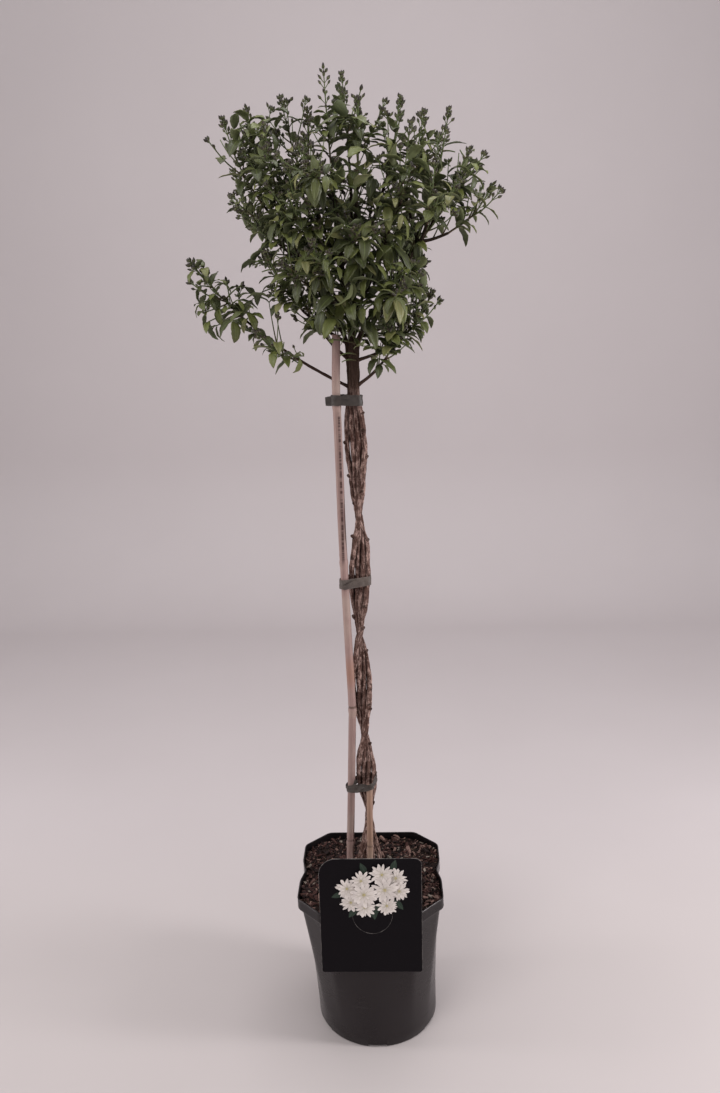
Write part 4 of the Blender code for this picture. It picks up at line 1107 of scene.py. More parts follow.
def more_leaf(space, owner, axis, s, angle, rng, length, lift=0.15):
    # One more leaf, where there is room for it.
    for attempt in range(LEAF_TRIES):
        swing = rng.uniform(-0.7, 0.7) * attempt / 2
        leaf = fine_leaf(axis, s, angle + swing, rng, length * (1 - 0.04 * attempt), lift)
        balls = leaf_balls(leaf)
        if not inside_box(balls) or not in_crown(balls):
            continue
        if space.free(owner, balls[:6], FINE_CLEAR) and space.free(-1, balls[6:], FINE_CLEAR):
            if spared(leaf, rng):
                return []
            space.add(owner, balls, FINE_BALL)
            return [dress(leaf, rng)]
    return []


def more_buds(space, owner, fine, axis, rng, first, pairs, spacing):
    # Pairs of stalked buds, each pair square to the next.
    total = lengths(axis)[-1]
    turn = rng.uniform(0, math.pi)
    for k in range(pairs):
        for side in (0, 1):
            s = total - first - spacing * k
            if s < 0.002:
                return
            lean = math.radians(rng.uniform(*STALKED_LEAN))
            angle = turn + k * math.pi / 2 + side * math.pi + rng.uniform(-0.3, 0.3)
            along = leaned(tangent(axis, s), angle, lean)
            base = at(axis, s)
            stalk = rng.uniform(*STALKED_STALKS)
            length = rng.uniform(*STALKED_LENGTHS)
            ends = np.array([base + along * (stalk + length * share) for share in (0.3, 0.65, 1.0)])
            if inside_box(ends) and space.free(owner, ends, FINE_CLEAR) and space.free(-1, ends[1:], 0.0008):
                space.add(owner, ends, FINE_BALL)
                fine["buds"].append({"base": base, "along": along, "stalk": stalk, "length": length,
                                     "radius": rng.uniform(*STALKED_RADII), "tint": rng.random()})


def end_bud(fine, axis, rng, pairs=1):
    # The bud at a shoot's end, with pairs of others pressed close below it.
    along = unit(axis[-1] - axis[-2])
    fine["buds"].append({"base": axis[-1] - along * 0.0010, "along": along, "stalk": END_STALK,
                         "length": rng.uniform(*END_LENGTHS), "radius": rng.uniform(*END_RADII),
                         "tint": rng.random()})
    turn = rng.uniform(0, math.pi)
    for k in range(pairs):
        for side in (0, 1):
            lean = math.radians(rng.uniform(*CLOSE_LEAN))
            out = leaned(along, turn + k * math.pi / 2 + side * math.pi, lean)
            fine["buds"].append({"base": axis[-1] - along * (0.0012 + CLOSE_STEP * k), "along": out,
                                 "stalk": rng.uniform(*CLOSE_STALKS), "length": rng.uniform(*CLOSE_LENGTHS),
                                 "radius": rng.uniform(*CLOSE_RADII), "tint": rng.random()})


def more_twig(space, owner, fine, axis, s, rng, reach, leaf_length, pairs, buds, radius=0.0008):
    # A side twig with its own leaves, with buds at its end or a pair of young leaves.
    for _ in range(FINE_TWIG_TRIES):
        forward = tangent(axis, s)
        start = at(axis, s)
        lean = unit(forward * 0.75 + side_vector(forward, rng.uniform(0, 2 * math.pi)) * 0.75 + UP * 0.1)
        length = reach * rng.uniform(0.8, 1.15)
        tip = start + lean * length * 0.95 + UP * length * 0.25
        twig = bezier(start, start + lean * length * 0.6, tip, 6)
        total = lengths(twig)[-1]
        points = cut(twig, min(0.004, total * 0.3), total, BALL_STEP)
        shown = inside_box(points) and in_outline(seen(points)).all()
        if shown and space.free(owner, points, TWIG_BALL, 0.0004):
            break
    else:
        return
    space.add(owner, points, TWIG_BALL)
    fine["tubes"].append((twig, np.linspace(radius, TWIG_END_RADIUS, len(twig)), TWIG_SIDES, None))
    grown = len(fine["leaves"])
    if buds:
        end_bud(fine, twig, rng)
        more_buds(space, owner, fine, twig, rng, 0.0025, buds, 0.0075)
    turn = rng.uniform(0, math.pi)
    low = 0.3 if pairs > 1 else 0.5
    for k, share in enumerate(np.linspace(low, 0.72 if buds else 0.97, pairs)):
        size = leaf_length * rng.uniform(0.8, 1.1) * (1.0 - 0.15 * k)
        for side in (0, 1):
            angle = turn + k * 1.57 + side * math.pi
            fine["leaves"] += more_leaf(space, owner, twig, total * share, angle, rng, size)
    if not buds and len(fine["leaves"]) == grown:
        end_bud(fine, twig, rng, 0)


def refine_spray(space, spray):
    # Fine leaves and buds where the spray has them, and more of both between them.
    rng = random.Random("fine_" + spray["name"])
    owner = spray["owner"]
    axis = smooth_path(spray["axis"], FINE_STEP)
    fine = {"tubes": [], "leaves": [], "buds": []}
    start = spray["start"]
    rise = TALL_SHOOTS.get(spray["name"], TOP_RISE if axis[-1][2] > CROWN_TOP else SHOOT_RISE)
    path = np.vstack((axis[0] - start * 0.0016, axis, axis[-1] + unit(axis[-1] - axis[-2]) * rise))
    fine["tubes"].append((path, np.linspace(GREEN_RADII[0], GREEN_RADII[1] * 0.7, len(path)), 8, start))
    end_bud(fine, path, rng, 3)
    for twig in spray["twigs"]:
        curve = smooth_path(twig, FINE_STEP)
        fine["tubes"].append((curve, np.linspace(*TWIG_RADII, len(curve)), TWIG_SIDES, None))
        end_bud(fine, curve, rng)
        more_buds(space, owner, fine, curve, rng, 0.0125, 1, 0.007)
    for leaf in spray["leaves"]:
        fine["leaves"].append(dress(dict(leaf), rng))
    for bud in spray["buds"]:
        length = bud["length"]
        fine["buds"].append({"base": bud["base"], "along": bud["along"], "stalk": length * 0.46,
                             "length": length * 0.54, "radius": bud["radius"] * 0.86, "tint": rng.random()})
    total = lengths(axis)[-1]
    more_buds(space, owner, fine, axis, rng, RACEME_START, 3 + (rng.random() < 0.6), RACEME_STEP)
    side = spray["name"].startswith("spray_side")
    nodes = np.linspace(total * 0.06, max(total - BARE_END, total * 0.50), 4 if side else 6)
    for k, s in enumerate(nodes):
        turn = rng.uniform(0, math.pi)
        size = LEAF_LENGTH * rng.uniform(*NODE_LEAF)
        for half in (0, 1):
            fine["leaves"] += more_leaf(space, owner, axis, s, turn + half * math.pi, rng, size)
        if rng.random() < 0.8:
            more_twig(space, owner, fine, axis, s + 0.003, rng, rng.uniform(*FINE_TWIG_REACH),
                      LEAF_LENGTH * FINE_TWIG_LEAF, rng.choice((1, 2, 2)), rng.choice((0, 1, 1, 2)))
    for k in range(2 if total > YOUNG_FROM else 0):
        turn = rng.uniform(0, math.pi)
        for half in (0, 1):
            size = rng.uniform(*YOUNG_SIZES)
            s = total - YOUNG_START - YOUNG_STEP * k
            fine["leaves"] += more_leaf(space, owner, axis, s, turn + half * math.pi, rng, size)
    return fine


def wood_shoots(space, index, tubes):
    # Short leafy shoots along one stem's wood inside the crown.
    rng = random.Random(f"wood_shoots_{index}")
    fine = {"tubes": [], "leaves": [], "buds": []}
    for path, _, _ in tubes:
        path = smooth_path(path, 0.006)
        total = lengths(path)[-1]
        s = 0.014
        while s < total - 0.004:
            z = at(path, s)[2]
            if z > LOWEST_SHOOT:
                reach = rng.uniform(*WOOD_SHOOT_REACH)
                more_twig(space, index, fine, path, s, rng, reach, LEAF_LENGTH * rng.uniform(0.65, 1.0),
                          rng.choice((1, 1, 2)), rng.choice((0, 0, 1)), 0.0009)
            s += rng.uniform(*WOOD_SHOOT_STEP)
    return fine


def reach_shoots(space, wood, sprays, shoots, fine):
    # Shoots that reach set places in the crown, each from the nearest wood or green shoot.
    carriers = []
    for index, tubes in enumerate(wood):
        for path, _, _ in tubes:
            carriers.append((index, onward(path, 0.0, STEM_BALL_STEP), shoots[index]))
    for spray, parts in zip(sprays, fine):
        carriers.append((spray["owner"], onward(spray["axis"], 0.0, STEM_BALL_STEP), parts))
    for number, (x, y, deep, pairs, size, lift, buds) in enumerate(REACHES):
        rng = random.Random(f"reach_{number}")
        tip = from_picture(x, y, deep / 1000)
        rise = lift / 100
        best = None
        for owner, path, parts in carriers:
            gaps = np.linalg.norm(path - tip, axis=1)
            cost = gaps + 0.6 * np.maximum(0.0, path[:, 2] - tip[2] - 0.004)
            cost += np.where(gaps < 0.014, 0.05, 0.0)
            cost += np.where(path[:, 2] < FORK_HEIGHT - 0.002, 0.2, 0.0)
            k = int(np.argmin(cost))
            if best is None or cost[k] < best[0]:
                best = (cost[k], owner, path[k], parts)
        _, owner, start, parts = best
        reach = tip - start
        for _ in range(TWIG_TRIES):
            side = np.array((rng.uniform(-1, 1), rng.uniform(-1, 1), rng.uniform(0.0, 1.2)))
            twig = bezier(start, start + reach * 0.5 + side * 0.12 * float(np.linalg.norm(reach)), tip, 8)
            total = lengths(twig)[-1]
            if space.free(owner, cut(twig, min(0.004, total * 0.3), total, BALL_STEP), TWIG_BALL, 0.0003):
                break
        space.add(owner, onward(twig, 0.0, BALL_STEP), TWIG_BALL)
        parts["tubes"].append((twig, np.linspace(*REACH_RADII, len(twig)), TWIG_SIDES, None))
        turn = rng.uniform(0, math.pi)
        for k, share in enumerate(np.linspace(0.45, 0.97, pairs) if pairs > 1 else (0.96,)):
            for half in (0, 1):
                angle = turn + k * math.pi / 2 + half * math.pi
                parts["leaves"] += more_leaf(space, owner, twig, total * share, angle, rng,
                                             size * 0.001 * rng.uniform(0.88, 1.08), rise)
        if buds:
            end_bud(parts, twig, rng)
            more_buds(space, owner, parts, twig, rng, 0.006, buds, 0.0075)
        elif pairs:
            parts["leaves"] += more_leaf(space, owner, twig, total * 0.99, turn + 0.8, rng, size * 0.0006,
                                         rise + 0.3)


def make_foliage(name, fine, looks):
    shape = Shape()
    for path, radii, sides, start in fine["tubes"]:
        round_tube(shape, path, radii, sides, STALK, 0.5, start=start)
    for leaf in fine["leaves"]:
        add_leaf(shape, leaf)
    for bud in fine["buds"]:
        add_bud(shape, bud)
    made = shape.make(name, looks)
    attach(made, "root")
    return made


# Wood. Knots: the height, and -1, 0 or 1 for the left, front or right side of the trunk.
KNOTS = (
    (0.756, -1), (0.716, -1), (0.682, -1), (0.646, -1), (0.595, -1), (0.542, -1), (0.739, 1), (0.638, 1),
    (0.533, 1), (0.498, 1), (0.427, 1), (0.374, 1), (0.301, 1), (0.433, 0), (0.338, 0), (0.28, 0), (0.7, 0),
    (0.56, 0), (0.79, 1), (0.77, 0), (0.62, 0), (0.47, 0))
BARK, DARK_WOOD = range(2)
STEM_SIDES = 18
BRANCH_SIDES = 9
KNOB_RADII = (0.0031, 0.0026, 0.0021, 0.0014)
STEM_SHOWN = 0.150
COLLAR = (1.35, 1.15)
CANE_SIDES = 28
STUB_NODE = 0.262
NODE_RINGS = (0.5, 0.8, 0.15, 0.5)
GROOVE_X = -0.0258
CANE_TONE = (0.290, 0.182, 0.165)
STUB_TONE = (0.36, 0.215, 0.150)
BARK_THICKER = (1.08, 1.13, 1.05, 1.10)
KINK = 0.0016
CREVICE_NEAR = 0.0036
CREVICE_FAR = 0.0056
# Fixed amounts of the same bark darkening for the crown's wood and for the knots.
CROWN_DEPTH = 0.35
KNOT_DEPTH = 0.45


def bark_relief(seed, depth=1.0):
    # Lengthwise ropes and ridges that wander, with lumps, dents and flakes.
    def relief(angle, s):
        wander = noise.noise(Vector((s * 30, seed * 7.3, 0.0))) * 3.6
        rope = 0.10 * math.sin(2 * angle + wander + seed) + 0.08 * math.sin(5 * angle + 1.9 * wander)
        lump = noise.noise(Vector((math.cos(angle) * 1.2, math.sin(angle) * 1.2, s * 85 + seed * 11)))
        flake = noise.noise(Vector((math.cos(angle) * 2.6, math.sin(angle) * 2.6, s * 240 + seed * 5)))
        slow = noise.noise(Vector((s * 17, seed * 3.1, 5.0)))
        return 1.0 + depth * (rope + 0.26 * lump + 0.13 * flake + 0.22 * slow)
    return relief


def unsteady(path, index):
    # A stem's path with its small kinks, which fade out in the crown.
    moved = path.copy()
    for k, point in enumerate(path):
        fade = min(1.0, max(0.0, (FORK_HEIGHT - point[2]) / 0.05))
        for axis in (0, 1):
            moved[k, axis] += KINK * fade * noise.noise(Vector((point[2] * 34, index * 5.7, 3.0 * axis)))
    return moved


def crevice_shade(points, index):
    # How deep each point of a stem lies between the stems beside it; the bark turns darker there as painted
    # shade in the crevices. Above the fork it is CROWN_DEPTH.
    deep = np.zeros(len(points))
    heights = points[:, 2]
    for other in range(STEM_COUNT):
        if other != index:
            axis = np.array([stem_point(other, z) for z in heights])
            gaps = np.linalg.norm((points - axis)[:, :2], axis=1)
            deep = np.maximum(deep, np.clip((CREVICE_FAR - gaps) / (CREVICE_FAR - CREVICE_NEAR), 0.0, 1.0))
    return np.where(heights < FORK_HEIGHT, deep, CROWN_DEPTH)


def make_stem(index, tubes):
    shape = Shape()
    stem, radii, _ = tubes[0]
    path = unsteady(smooth_path(stem, STEM_STEP), index)
    run = np.interp(lengths(path), lengths(stem) * lengths(path)[-1] / lengths(stem)[-1], radii)
    above = path[:, 2] > STEM_SHOWN
    sizes = run[above] * BARK_THICKER[index]
    round_tube(shape, path[above], sizes, STEM_SIDES, BARK, index / 4, bark_relief(index))
    shape.deepen(crevice_shade(shape.points[-1], index))
    for number, (branch, widths, _) in enumerate(tubes[1:]):
        curve = smooth_path(branch, BRANCH_STEP)
        sizes = np.interp(np.linspace(0, 1, len(curve)), np.linspace(0, 1, len(widths)), widths)
        sizes[:2] *= COLLAR
        relief = bark_relief(index + 10 * number + 3, 0.6)
        round_tube(shape, curve, sizes, BRANCH_SIDES, BARK, 0.3 + 0.1 * (number % 5), relief)
        shape.deepen(CROWN_DEPTH)
    for number, (z, side) in enumerate(KNOTS):
        places = [stem_point(k, z) for k in range(STEM_COUNT)]
        if side:
            strand = max(range(STEM_COUNT), key=lambda k: places[k][0] * side)
            out = np.array((side, -0.35, 0.5))
        else:
            strand = min(range(STEM_COUNT), key=lambda k: places[k][1])
            out = np.array((0.25 * math.sin(number * 2.1), -1.0, 0.45))
        if strand != index:
            continue
        out = unit(out)
        root = places[strand] + out * STEM_RADIUS * 0.5
        reach = 0.0022 + 0.0011 * (math.sin(number * 12.9) + 1)
        knob = np.array([root + out * reach * share for share in (0.0, 0.35, 0.7, 1.0)])
        round_tube(shape, knob, KNOB_RADII, BRANCH_SIDES, BARK, 0.5, bark_relief(number + 40))
        shape.deepen(KNOT_DEPTH)
        face = np.array([knob[-1] - out * 0.0004, knob[-1] + out * 0.0004])
        round_tube(shape, face, (0.00115, 0.0009), 8, DARK_WOOD, 0.5)
    made = shape.make(f"bark_stem_{index + 1}", (bark_look(), dark_wood_look()))
    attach(made, "root")
    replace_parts(made, f"stem_{index + 1}")


def make_canes():
    curve = smooth_path(np.array(cane_path()), 0.003)
    heights = curve[:, 2]
    radii = np.full(len(curve), CANE_RADIUS)
    for node in CANE_NODES:
        gap = heights - node
        radii += CANE_NODE_SWELL * 1.2 * np.exp(-(gap / 0.0035) ** 2)
        radii -= 0.00035 * np.exp(-((gap - 0.0052) / 0.0016) ** 2)
        radii += CANE_NODE_SWELL * 0.6 * np.exp(-((gap - 0.0085) / 0.0018) ** 2)
    shape = Shape()

    def relief(angle, s):
        return 1.0 + 0.012 * noise.noise(Vector((math.cos(angle) * 2, math.sin(angle) * 2, s * 12)))

    round_tube(shape, curve, radii, CANE_SIDES, 0, 0.0, relief)
    long_cane = shape.make("long_bamboo", (bamboo_look("cane_skin", CANE_TONE, True),), 50)
    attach(long_cane, "root")
    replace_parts(long_cane, "long_cane")
    shape = Shape()
    stub = stub_path(60)
    sizes = STUB_RADIUS + 0.0005 * np.exp(-((stub[:, 2] - STUB_NODE) / 0.003) ** 2)
    round_tube(shape, stub, sizes, CANE_SIDES, 0, 0.0, relief)
    short = shape.make("short_bamboo", (bamboo_look("stub_skin", STUB_TONE, False),), 50)
    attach(short, "root")
    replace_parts(short, "short_cane")


# Ties: how crumpled each is, where its creases start, how much it slopes, and how light it is.
TIE_DETAIL = {"tie_upper": (0.1, 0.0, -0.0006, 0.62), "tie_middle": (0.35, 0.6, 0.0012, 1.35),
              "tie_lower": (1.5, 1.3, 0.0060, 0.68)}
TIE_ROWS = 7
TIE_POINTS = 120

# Loose ends of tape: 0 from the left or 1 from the front of the tie, steps from there, widths, the
# direction of the width, and the thickness.
TAPE_ENDS = {
    "tie_upper": (
        (0, ((0.003, -0.0014, -0.0002), (-0.0010, -0.0012, -0.0004), (-0.0040, -0.0006, -0.0006),
             (-0.0068, 0.0000, -0.0008)), (0.0108, 0.0110, 0.0106, 0.0094), (0.32, 0.0, 1.0), 0.0005),
        (1, ((0.006, 0.0005, 0.003), (0.0105, -0.0002, 0.0045), (0.015, 0.0012, 0.0035)),
         (0.004, 0.0055, 0.005), (0.0, 0.0, 1.0), 0.0005)),
    "tie_middle": (
        (1, ((-0.003, -0.0012, -0.0048), (0.003, -0.0022, -0.0022), (0.010, -0.0016, 0.0010),
             (0.017, 0.0006, 0.0030)), (0.0034, 0.0046, 0.0044, 0.0030), (0.25, 0.0, 1.0), 0.0005),),
    "tie_lower": (
        (0, ((0.0015, -0.0012, -0.0060), (0.0045, -0.0032, -0.0030), (0.0090, -0.0040, 0.0000),
             (0.0125, -0.0030, 0.0052)), (0.006, 0.0045, 0.0050, 0.0035), (0.3, 0.2, 1.0), 0.0006),)}


def make_tie(name, middle, rods):
    # A creased band of tape drawn round the rods.
    crumple, phase, slope, light = TIE_DETAIL[name]
    circles = []
    for z in np.linspace(middle - TIE_WIDTH / 2, middle + TIE_WIDTH / 2, 5):
        for path, radius in rods:
            if path[0][2] < z < path[-1][2] + TIE_WIDTH:
                circles.append(([lookup([(p[2], p[k]) for p in path], z) for k in (0, 1)], radius))
    points = []
    for centre, radius in circles:
        for k in range(16):
            angle = 2 * math.pi * k / 16
            points.append((centre[0] + radius * math.cos(angle), centre[1] + radius * math.sin(angle)))
    outline = np.array(even_outline(hull(points), TIE_POINTS, TIE_CLEARANCE))
    outward = np.array(even_outline(hull(points), TIE_POINTS, TIE_CLEARANCE + 0.001)) - outline
    outward /= np.linalg.norm(outward, axis=1)[:, None]
    centre = outline.mean(axis=0)
    reach = np.ptp(outline[:, 0]) / 2
    rings = []
    for face in (1, 0):
        levels = np.linspace(-1, 1, TIE_ROWS)
        for v in (levels if face else levels[::-1]):
            ring = []
            for k, (x, y) in enumerate(outline):
                around = 2 * math.pi * k / TIE_POINTS
                spot = Vector((math.cos(around) * 2.2 + phase, math.sin(around) * 2.2, v * (1.2 + crumple)))
                crease = noise.noise(spot)
                lift = 0.00035 * (1 + crease * (1.2 + 2.0 * crumple)) + TIE_THICKNESS * 0.6 * face
                edge = 0.0006 * noise.noise(Vector((math.cos(around) * 3, math.sin(around) * 3, phase + v)))
                half = TIE_WIDTH / 2 * (1.0 - 0.22 * crumple * (0.5 + 0.5 * math.sin(3 * around + phase)))
                z = middle + v * half + edge + slope * (x - centre[0]) / reach
                ring.append((x + outward[k][0] * lift, y + outward[k][1] * lift, z))
            rings.append(ring)
    flat = [p for ring in rings for p in ring]
    faces = [tuple(k % len(flat) for k in face) for face in grid_faces(len(rings) + 1, TIE_POINTS)]
    share = [1 - abs(2 * ((r % TIE_ROWS) / (TIE_ROWS - 1)) - 1) for r in range(len(rings))]
    turns = np.tile(np.arange(TIE_POINTS) / TIE_POINTS, len(rings))
    marks = np.column_stack((np.zeros(len(flat)), np.repeat(share, TIE_POINTS), turns))
    shape = Shape()
    shape.add(flat, faces, 0, marks)
    add_tape_ends(shape, name, middle, outline)
    made = shape.make(name + "_tape", (tape_look(name + "_look", light),), 50)
    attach(made, "root")
    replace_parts(made, name)


def strip(shape, path, widths, across, thickness):
    # A flat strip along a path. across is the direction of its width.
    path = np.asarray(path, float)
    forward, _, _ = frames(path)
    points = []
    for k, point in enumerate(path):
        wide = square_to(across, forward[k])
        normal = np.cross(forward[k], wide)
        half = widths[k] / 2
        for sign, level in ((-1, 1), (1, 1), (1, -1), (-1, -1)):
            points.append(point + sign * wide * half + level * normal * thickness / 2)
    faces = grid_faces(len(path), 4)
    faces += [(3, 2, 1, 0), tuple(range(4 * len(path) - 4, 4 * len(path)))]
    marks = np.column_stack((np.zeros(len(points)), np.tile((0.0, 1.0, 1.0, 0.0), len(path)),
                             np.repeat(np.linspace(0, 1, len(path)), 4)))
    shape.add(points, faces, 0, marks)


def add_tape_ends(shape, name, middle, outline):
    for side, steps, widths, across, thickness in TAPE_ENDS[name]:
        nearest = int(np.argmin(outline[:, side]))
        root = np.array((*outline[nearest], middle))
        strip(shape, [root + np.array(step) for step in steps], widths, unit(across), thickness)


# Pot
FINE_TURN = 192
POT_RINGS = 18
BASE_STEPS = ((0.004, 0.0012), (0.003, 0.0), (0.0008, 0.0009))


def soft_reach(angle):
    # The rim's outline with its corners rounded.
    spread = [rim_reach(angle + math.radians(step)) for step in (-2.4, -1.2, 0.0, 1.2, 2.4)]
    return 0.12 * spread[0] + 0.23 * spread[1] + 0.30 * spread[2] + 0.23 * spread[3] + 0.12 * spread[4]


FINE_ANGLES = np.arange(FINE_TURN) * 2 * math.pi / FINE_TURN
FINE_REACH = np.array([soft_reach(a) for a in FINE_ANGLES])


def fine_ring(reach, z):
    x = lean(z) + reach * np.cos(FINE_ANGLES)
    return np.column_stack((x, reach * np.sin(FINE_ANGLES), np.full(FINE_TURN, z)))


def fine_body(z, inset):
    share = (z / (POT_HEIGHT - RIM_BAND)) ** SHAPE_BLEND
    return fine_ring(BASE_RADIUS + (FINE_REACH - RIM_STEP - BASE_RADIUS) * share - inset, z)


def make_pot():
    ledge = POT_HEIGHT - RIM_BAND
    heights = np.linspace(BASE_ROUNDING, ledge - 0.002, POT_RINGS)
    rings = [fine_ring(BASE_RADIUS - inset, z) for inset, z in BASE_STEPS]
    rings += [fine_body(z, 0.0) for z in heights]
    rings += [fine_body(ledge - 0.0008, -0.0002), fine_ring(FINE_REACH - 0.0012, ledge - 0.0002)]
    rings += [fine_ring(FINE_REACH - 0.0003, ledge + 0.0006), fine_ring(FINE_REACH, ledge + 0.0020)]
    rings += [fine_ring(FINE_REACH - 0.0002, z) for z in np.linspace(ledge + 0.005, POT_HEIGHT - 0.002, 4)]
    rings += [fine_ring(FINE_REACH, POT_HEIGHT - 0.0009), fine_ring(FINE_REACH - 0.0004, POT_HEIGHT - 0.0002)]
    rings += [fine_ring(FINE_REACH - 0.0011, POT_HEIGHT), fine_ring(FINE_REACH - WALL, POT_HEIGHT - 0.0006)]
    rings += [fine_ring(FINE_REACH - WALL, ledge + 0.0030), fine_body(ledge, WALL) + np.array((0, 0, WALL))]
    rings += [fine_body(z, WALL) for z in heights[::-3]]
    rings += [fine_ring(BASE_RADIUS - 0.003, FLOOR)]
    shape = Shape()
    shape.add(np.vstack(rings), skin_faces(len(rings), FINE_TURN))
    pot = shape.make("plastic_pot", (plastic_look(),))
    cutters = []
    for k in range(NOTCH_COUNT):
        angle = 2 * math.pi * k / NOTCH_COUNT - math.pi / 2
        middle = 0.5 * (NOTCH_INNER + RIM_HALF)
        cutter = make_object(f"notch_{k}", *box_data(RIM_HALF - NOTCH_INNER, NOTCH_WIDTH, 2 * NOTCH_HEIGHT))
        cutter.location = (LEAN_BASE + middle * math.cos(angle), middle * math.sin(angle), 0.0)
        cutter.rotation_euler = (0.0, 0.0, angle)
        cutters.append(cutter)
    cut_away(pot, cutters)
    pot.data.shade_smooth()
    pot.data.set_sharp_from_angle(angle=math.radians(38))
    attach(pot, "root")
    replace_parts(pot, "pot")


# Soil
CHIP_COUNT = 3000
CHIP_SIZES = (0.0028, 0.0072)
LARGE_CHIPS = (0.0070, 0.0115)
LARGE_EVERY = 9
SOIL_SHARES = (1.0, 0.985, 0.95, 0.90, 0.84, 0.77, 0.70, 0.62, 0.54, 0.46, 0.38, 0.30, 0.22, 0.14, 0.07)


def crumb(x, y):
    point = Vector((x * 90, y * 90, 0.0))
    return soil_top(x, y) + 0.0016 * noise.noise(point) + 0.0010 * noise.noise(point * 3.1)


def make_soil():
    ledge = POT_HEIGHT - RIM_BAND
    inset = WALL + GAP
    edge = FINE_REACH - inset - 0.0002
    rings = [fine_ring(BASE_RADIUS - 0.006, FLOOR + GAP + 0.0004)]
    levels = (BASE_ROUNDING + 0.002, 0.045, 0.090, 0.137, ledge - 0.004)
    rings += [fine_body(z, inset + 0.0003) for z in levels]
    rings += [fine_ring(edge, ledge + 0.0036)]
    for share in SOIL_SHARES:
        ring = fine_ring(edge * share, SOIL_LEVEL)
        ring[:, 2] = [crumb(x, y) - (0.0012 if share == 1.0 else 0.0) for x, y, _ in ring]
        rings.append(ring)
    shape = Shape()
    shape.add(np.vstack(rings), skin_faces(len(rings), FINE_TURN), 0, (0.3, 0.5, 0.0))
    rng = random.Random("bark_chips")
    for number in range(CHIP_COUNT):
        angle = rng.uniform(0, 2 * math.pi)
        reach = float(np.interp(angle, FINE_ANGLES, FINE_REACH, period=2 * math.pi)) - inset
        share = math.sqrt(rng.uniform(0.0, 1.0))
        size = rng.uniform(*(CHIP_SIZES if number % LARGE_EVERY else LARGE_CHIPS))
        away = min(reach * share, reach - size * 0.55)
        x, y = lean(SOIL_LEVEL) + away * math.cos(angle), away * math.sin(angle)
        add_chip(shape, rng, Vector((x, y, crumb(x, y))), size)
    made = shape.make("bark_mulch", (soil_look(), chip_look()), 40)
    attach(made, "root")
    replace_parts(made, "bark_soil")


def add_chip(shape, rng, place, size):
    # A splinter of bark: a bent box with uneven corners.
    half = (size / 2, size * rng.uniform(0.10, 0.26), size * rng.uniform(0.05, 0.12) + 0.0003)
    turn = Matrix.Rotation(rng.uniform(0, math.pi * 2), 3, "Z") @ Matrix.Rotation(rng.gauss(0, 0.42), 3, "Y")
    turn = turn @ Matrix.Rotation(rng.gauss(0, 0.45), 3, "X")
    points = []
    bow = rng.uniform(-0.12, 0.12) * size
    for end in (-1, -0.25, 0.4, 1):
        for a, b in ((-1, -1), (1, -1), (1, 1), (-1, 1)):
            taper = 1.0 - 0.35 * abs(end) * rng.random()
            x = end * half[0] * rng.uniform(0.85, 1.1)
            y = a * half[1] * taper * rng.uniform(0.75, 1.15)
            z = b * half[2] * taper * rng.uniform(0.7, 1.2) + bow * (1 - end * end)
            points.append(turn @ Vector((x, y, z)))
    lowest = min(p.z for p in points)
    lift = place.z - lowest * rng.uniform(0.35, 0.85) + rng.uniform(-0.0002, 0.0008)
    points = [(p.x + place.x, p.y + place.y, min(p.z + lift, POT_HEIGHT - 0.001)) for p in points]
    faces = grid_faces(4, 4)
    faces += [(3, 2, 1, 0), (12, 13, 14, 15)]
    shape.add(points, faces, 1, (rng.random(), rng.random(), rng.random()))


# Label card
def round_corners(outline_inset, steps):
    corners = ((CARD_LEFT, CARD_BOTTOM, 180), (CARD_RIGHT, CARD_BOTTOM, 270), (CARD_RIGHT, CARD_TOP, 0),
               (CARD_LEFT, CARD_TOP, 90))
    made = []
    for (x, z, start), radius in zip(corners, CARD_CORNERS):
        cx = x + radius if x == CARD_LEFT else x - radius
        cz = z + radius if z == CARD_BOTTOM else z - radius
        for k in range(steps + 1):
            angle = math.radians(start + 90 * k / steps)
            reach = radius - outline_inset
            made.append((cx + reach * math.cos(angle), cz + reach * math.sin(angle)))
    return made


def make_card():
    back = -(RIM_HALF + GAP)
    front = back - CARD_THICKNESS
    shape = Shape()
    layers = ((0.0005, back), (0.0, back - 0.0001), (0.0, front + 0.0002), (0.0003, front))
    rings = [[(x, y, z) for x, z in round_corners(inset, 10)] for inset, y in layers]
    points, faces = loft(rings)
    shape.add(points, faces)
    shape.places = [1] * (len(faces) - 2) + [0, 0]
    card = shape.make("card_board", (card_look(), card_edge_look()), 30)
    fold = TONGUE_ROUTE[0][1] + CARD_THICKNESS / 2
    side = np.sin(np.linspace(-math.pi / 2, math.pi / 2, 33))
    drop = TONGUE_REACH * np.sqrt(np.maximum(0.0, 1 - side * side))
    moon = list(zip(TONGUE_CENTRE + TONGUE_HALF * side, fold - drop))
    vertices, faces = plate(moon, front - 0.001, back + 0.001)
    window = make_object("window", vertices, faces)
    window.data.materials.append(card.data.materials[1])
    cut_away(card, [window])
    add_worn_edge(front)
    add_tongue(card)
    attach(card, "root")
    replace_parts(card, "label_card")
    return front


def add_worn_edge(front):
    # The bare edge of the board that shows round the half moon's curve.
    shape = Shape()
    fold = TONGUE_ROUTE[0][1] + CARD_THICKNESS / 2
    turns = np.linspace(-math.pi * 0.49, math.pi * 0.49, 40)
    points = []
    for k, turn in enumerate(turns):
        wide = 0.00045 * math.cos(turn) + 0.00015 + 0.00012 * noise.noise(Vector((k * 0.4, 3.0, 0.0)))
        for reach in (0.0, wide):
            points.append((TONGUE_CENTRE + (TONGUE_HALF + reach) * math.sin(turn), front - 0.00004,
                           fold - (TONGUE_REACH + reach) * math.cos(turn)))
    faces = [(2 * k, 2 * k + 1, 2 * k + 3, 2 * k + 2) for k in range(len(turns) - 1)]
    shape.add(points, faces, 0)
    edge = shape.make("card_slit_edge", (card_edge_look(),))
    facing_out(edge)
    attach(edge, "root")


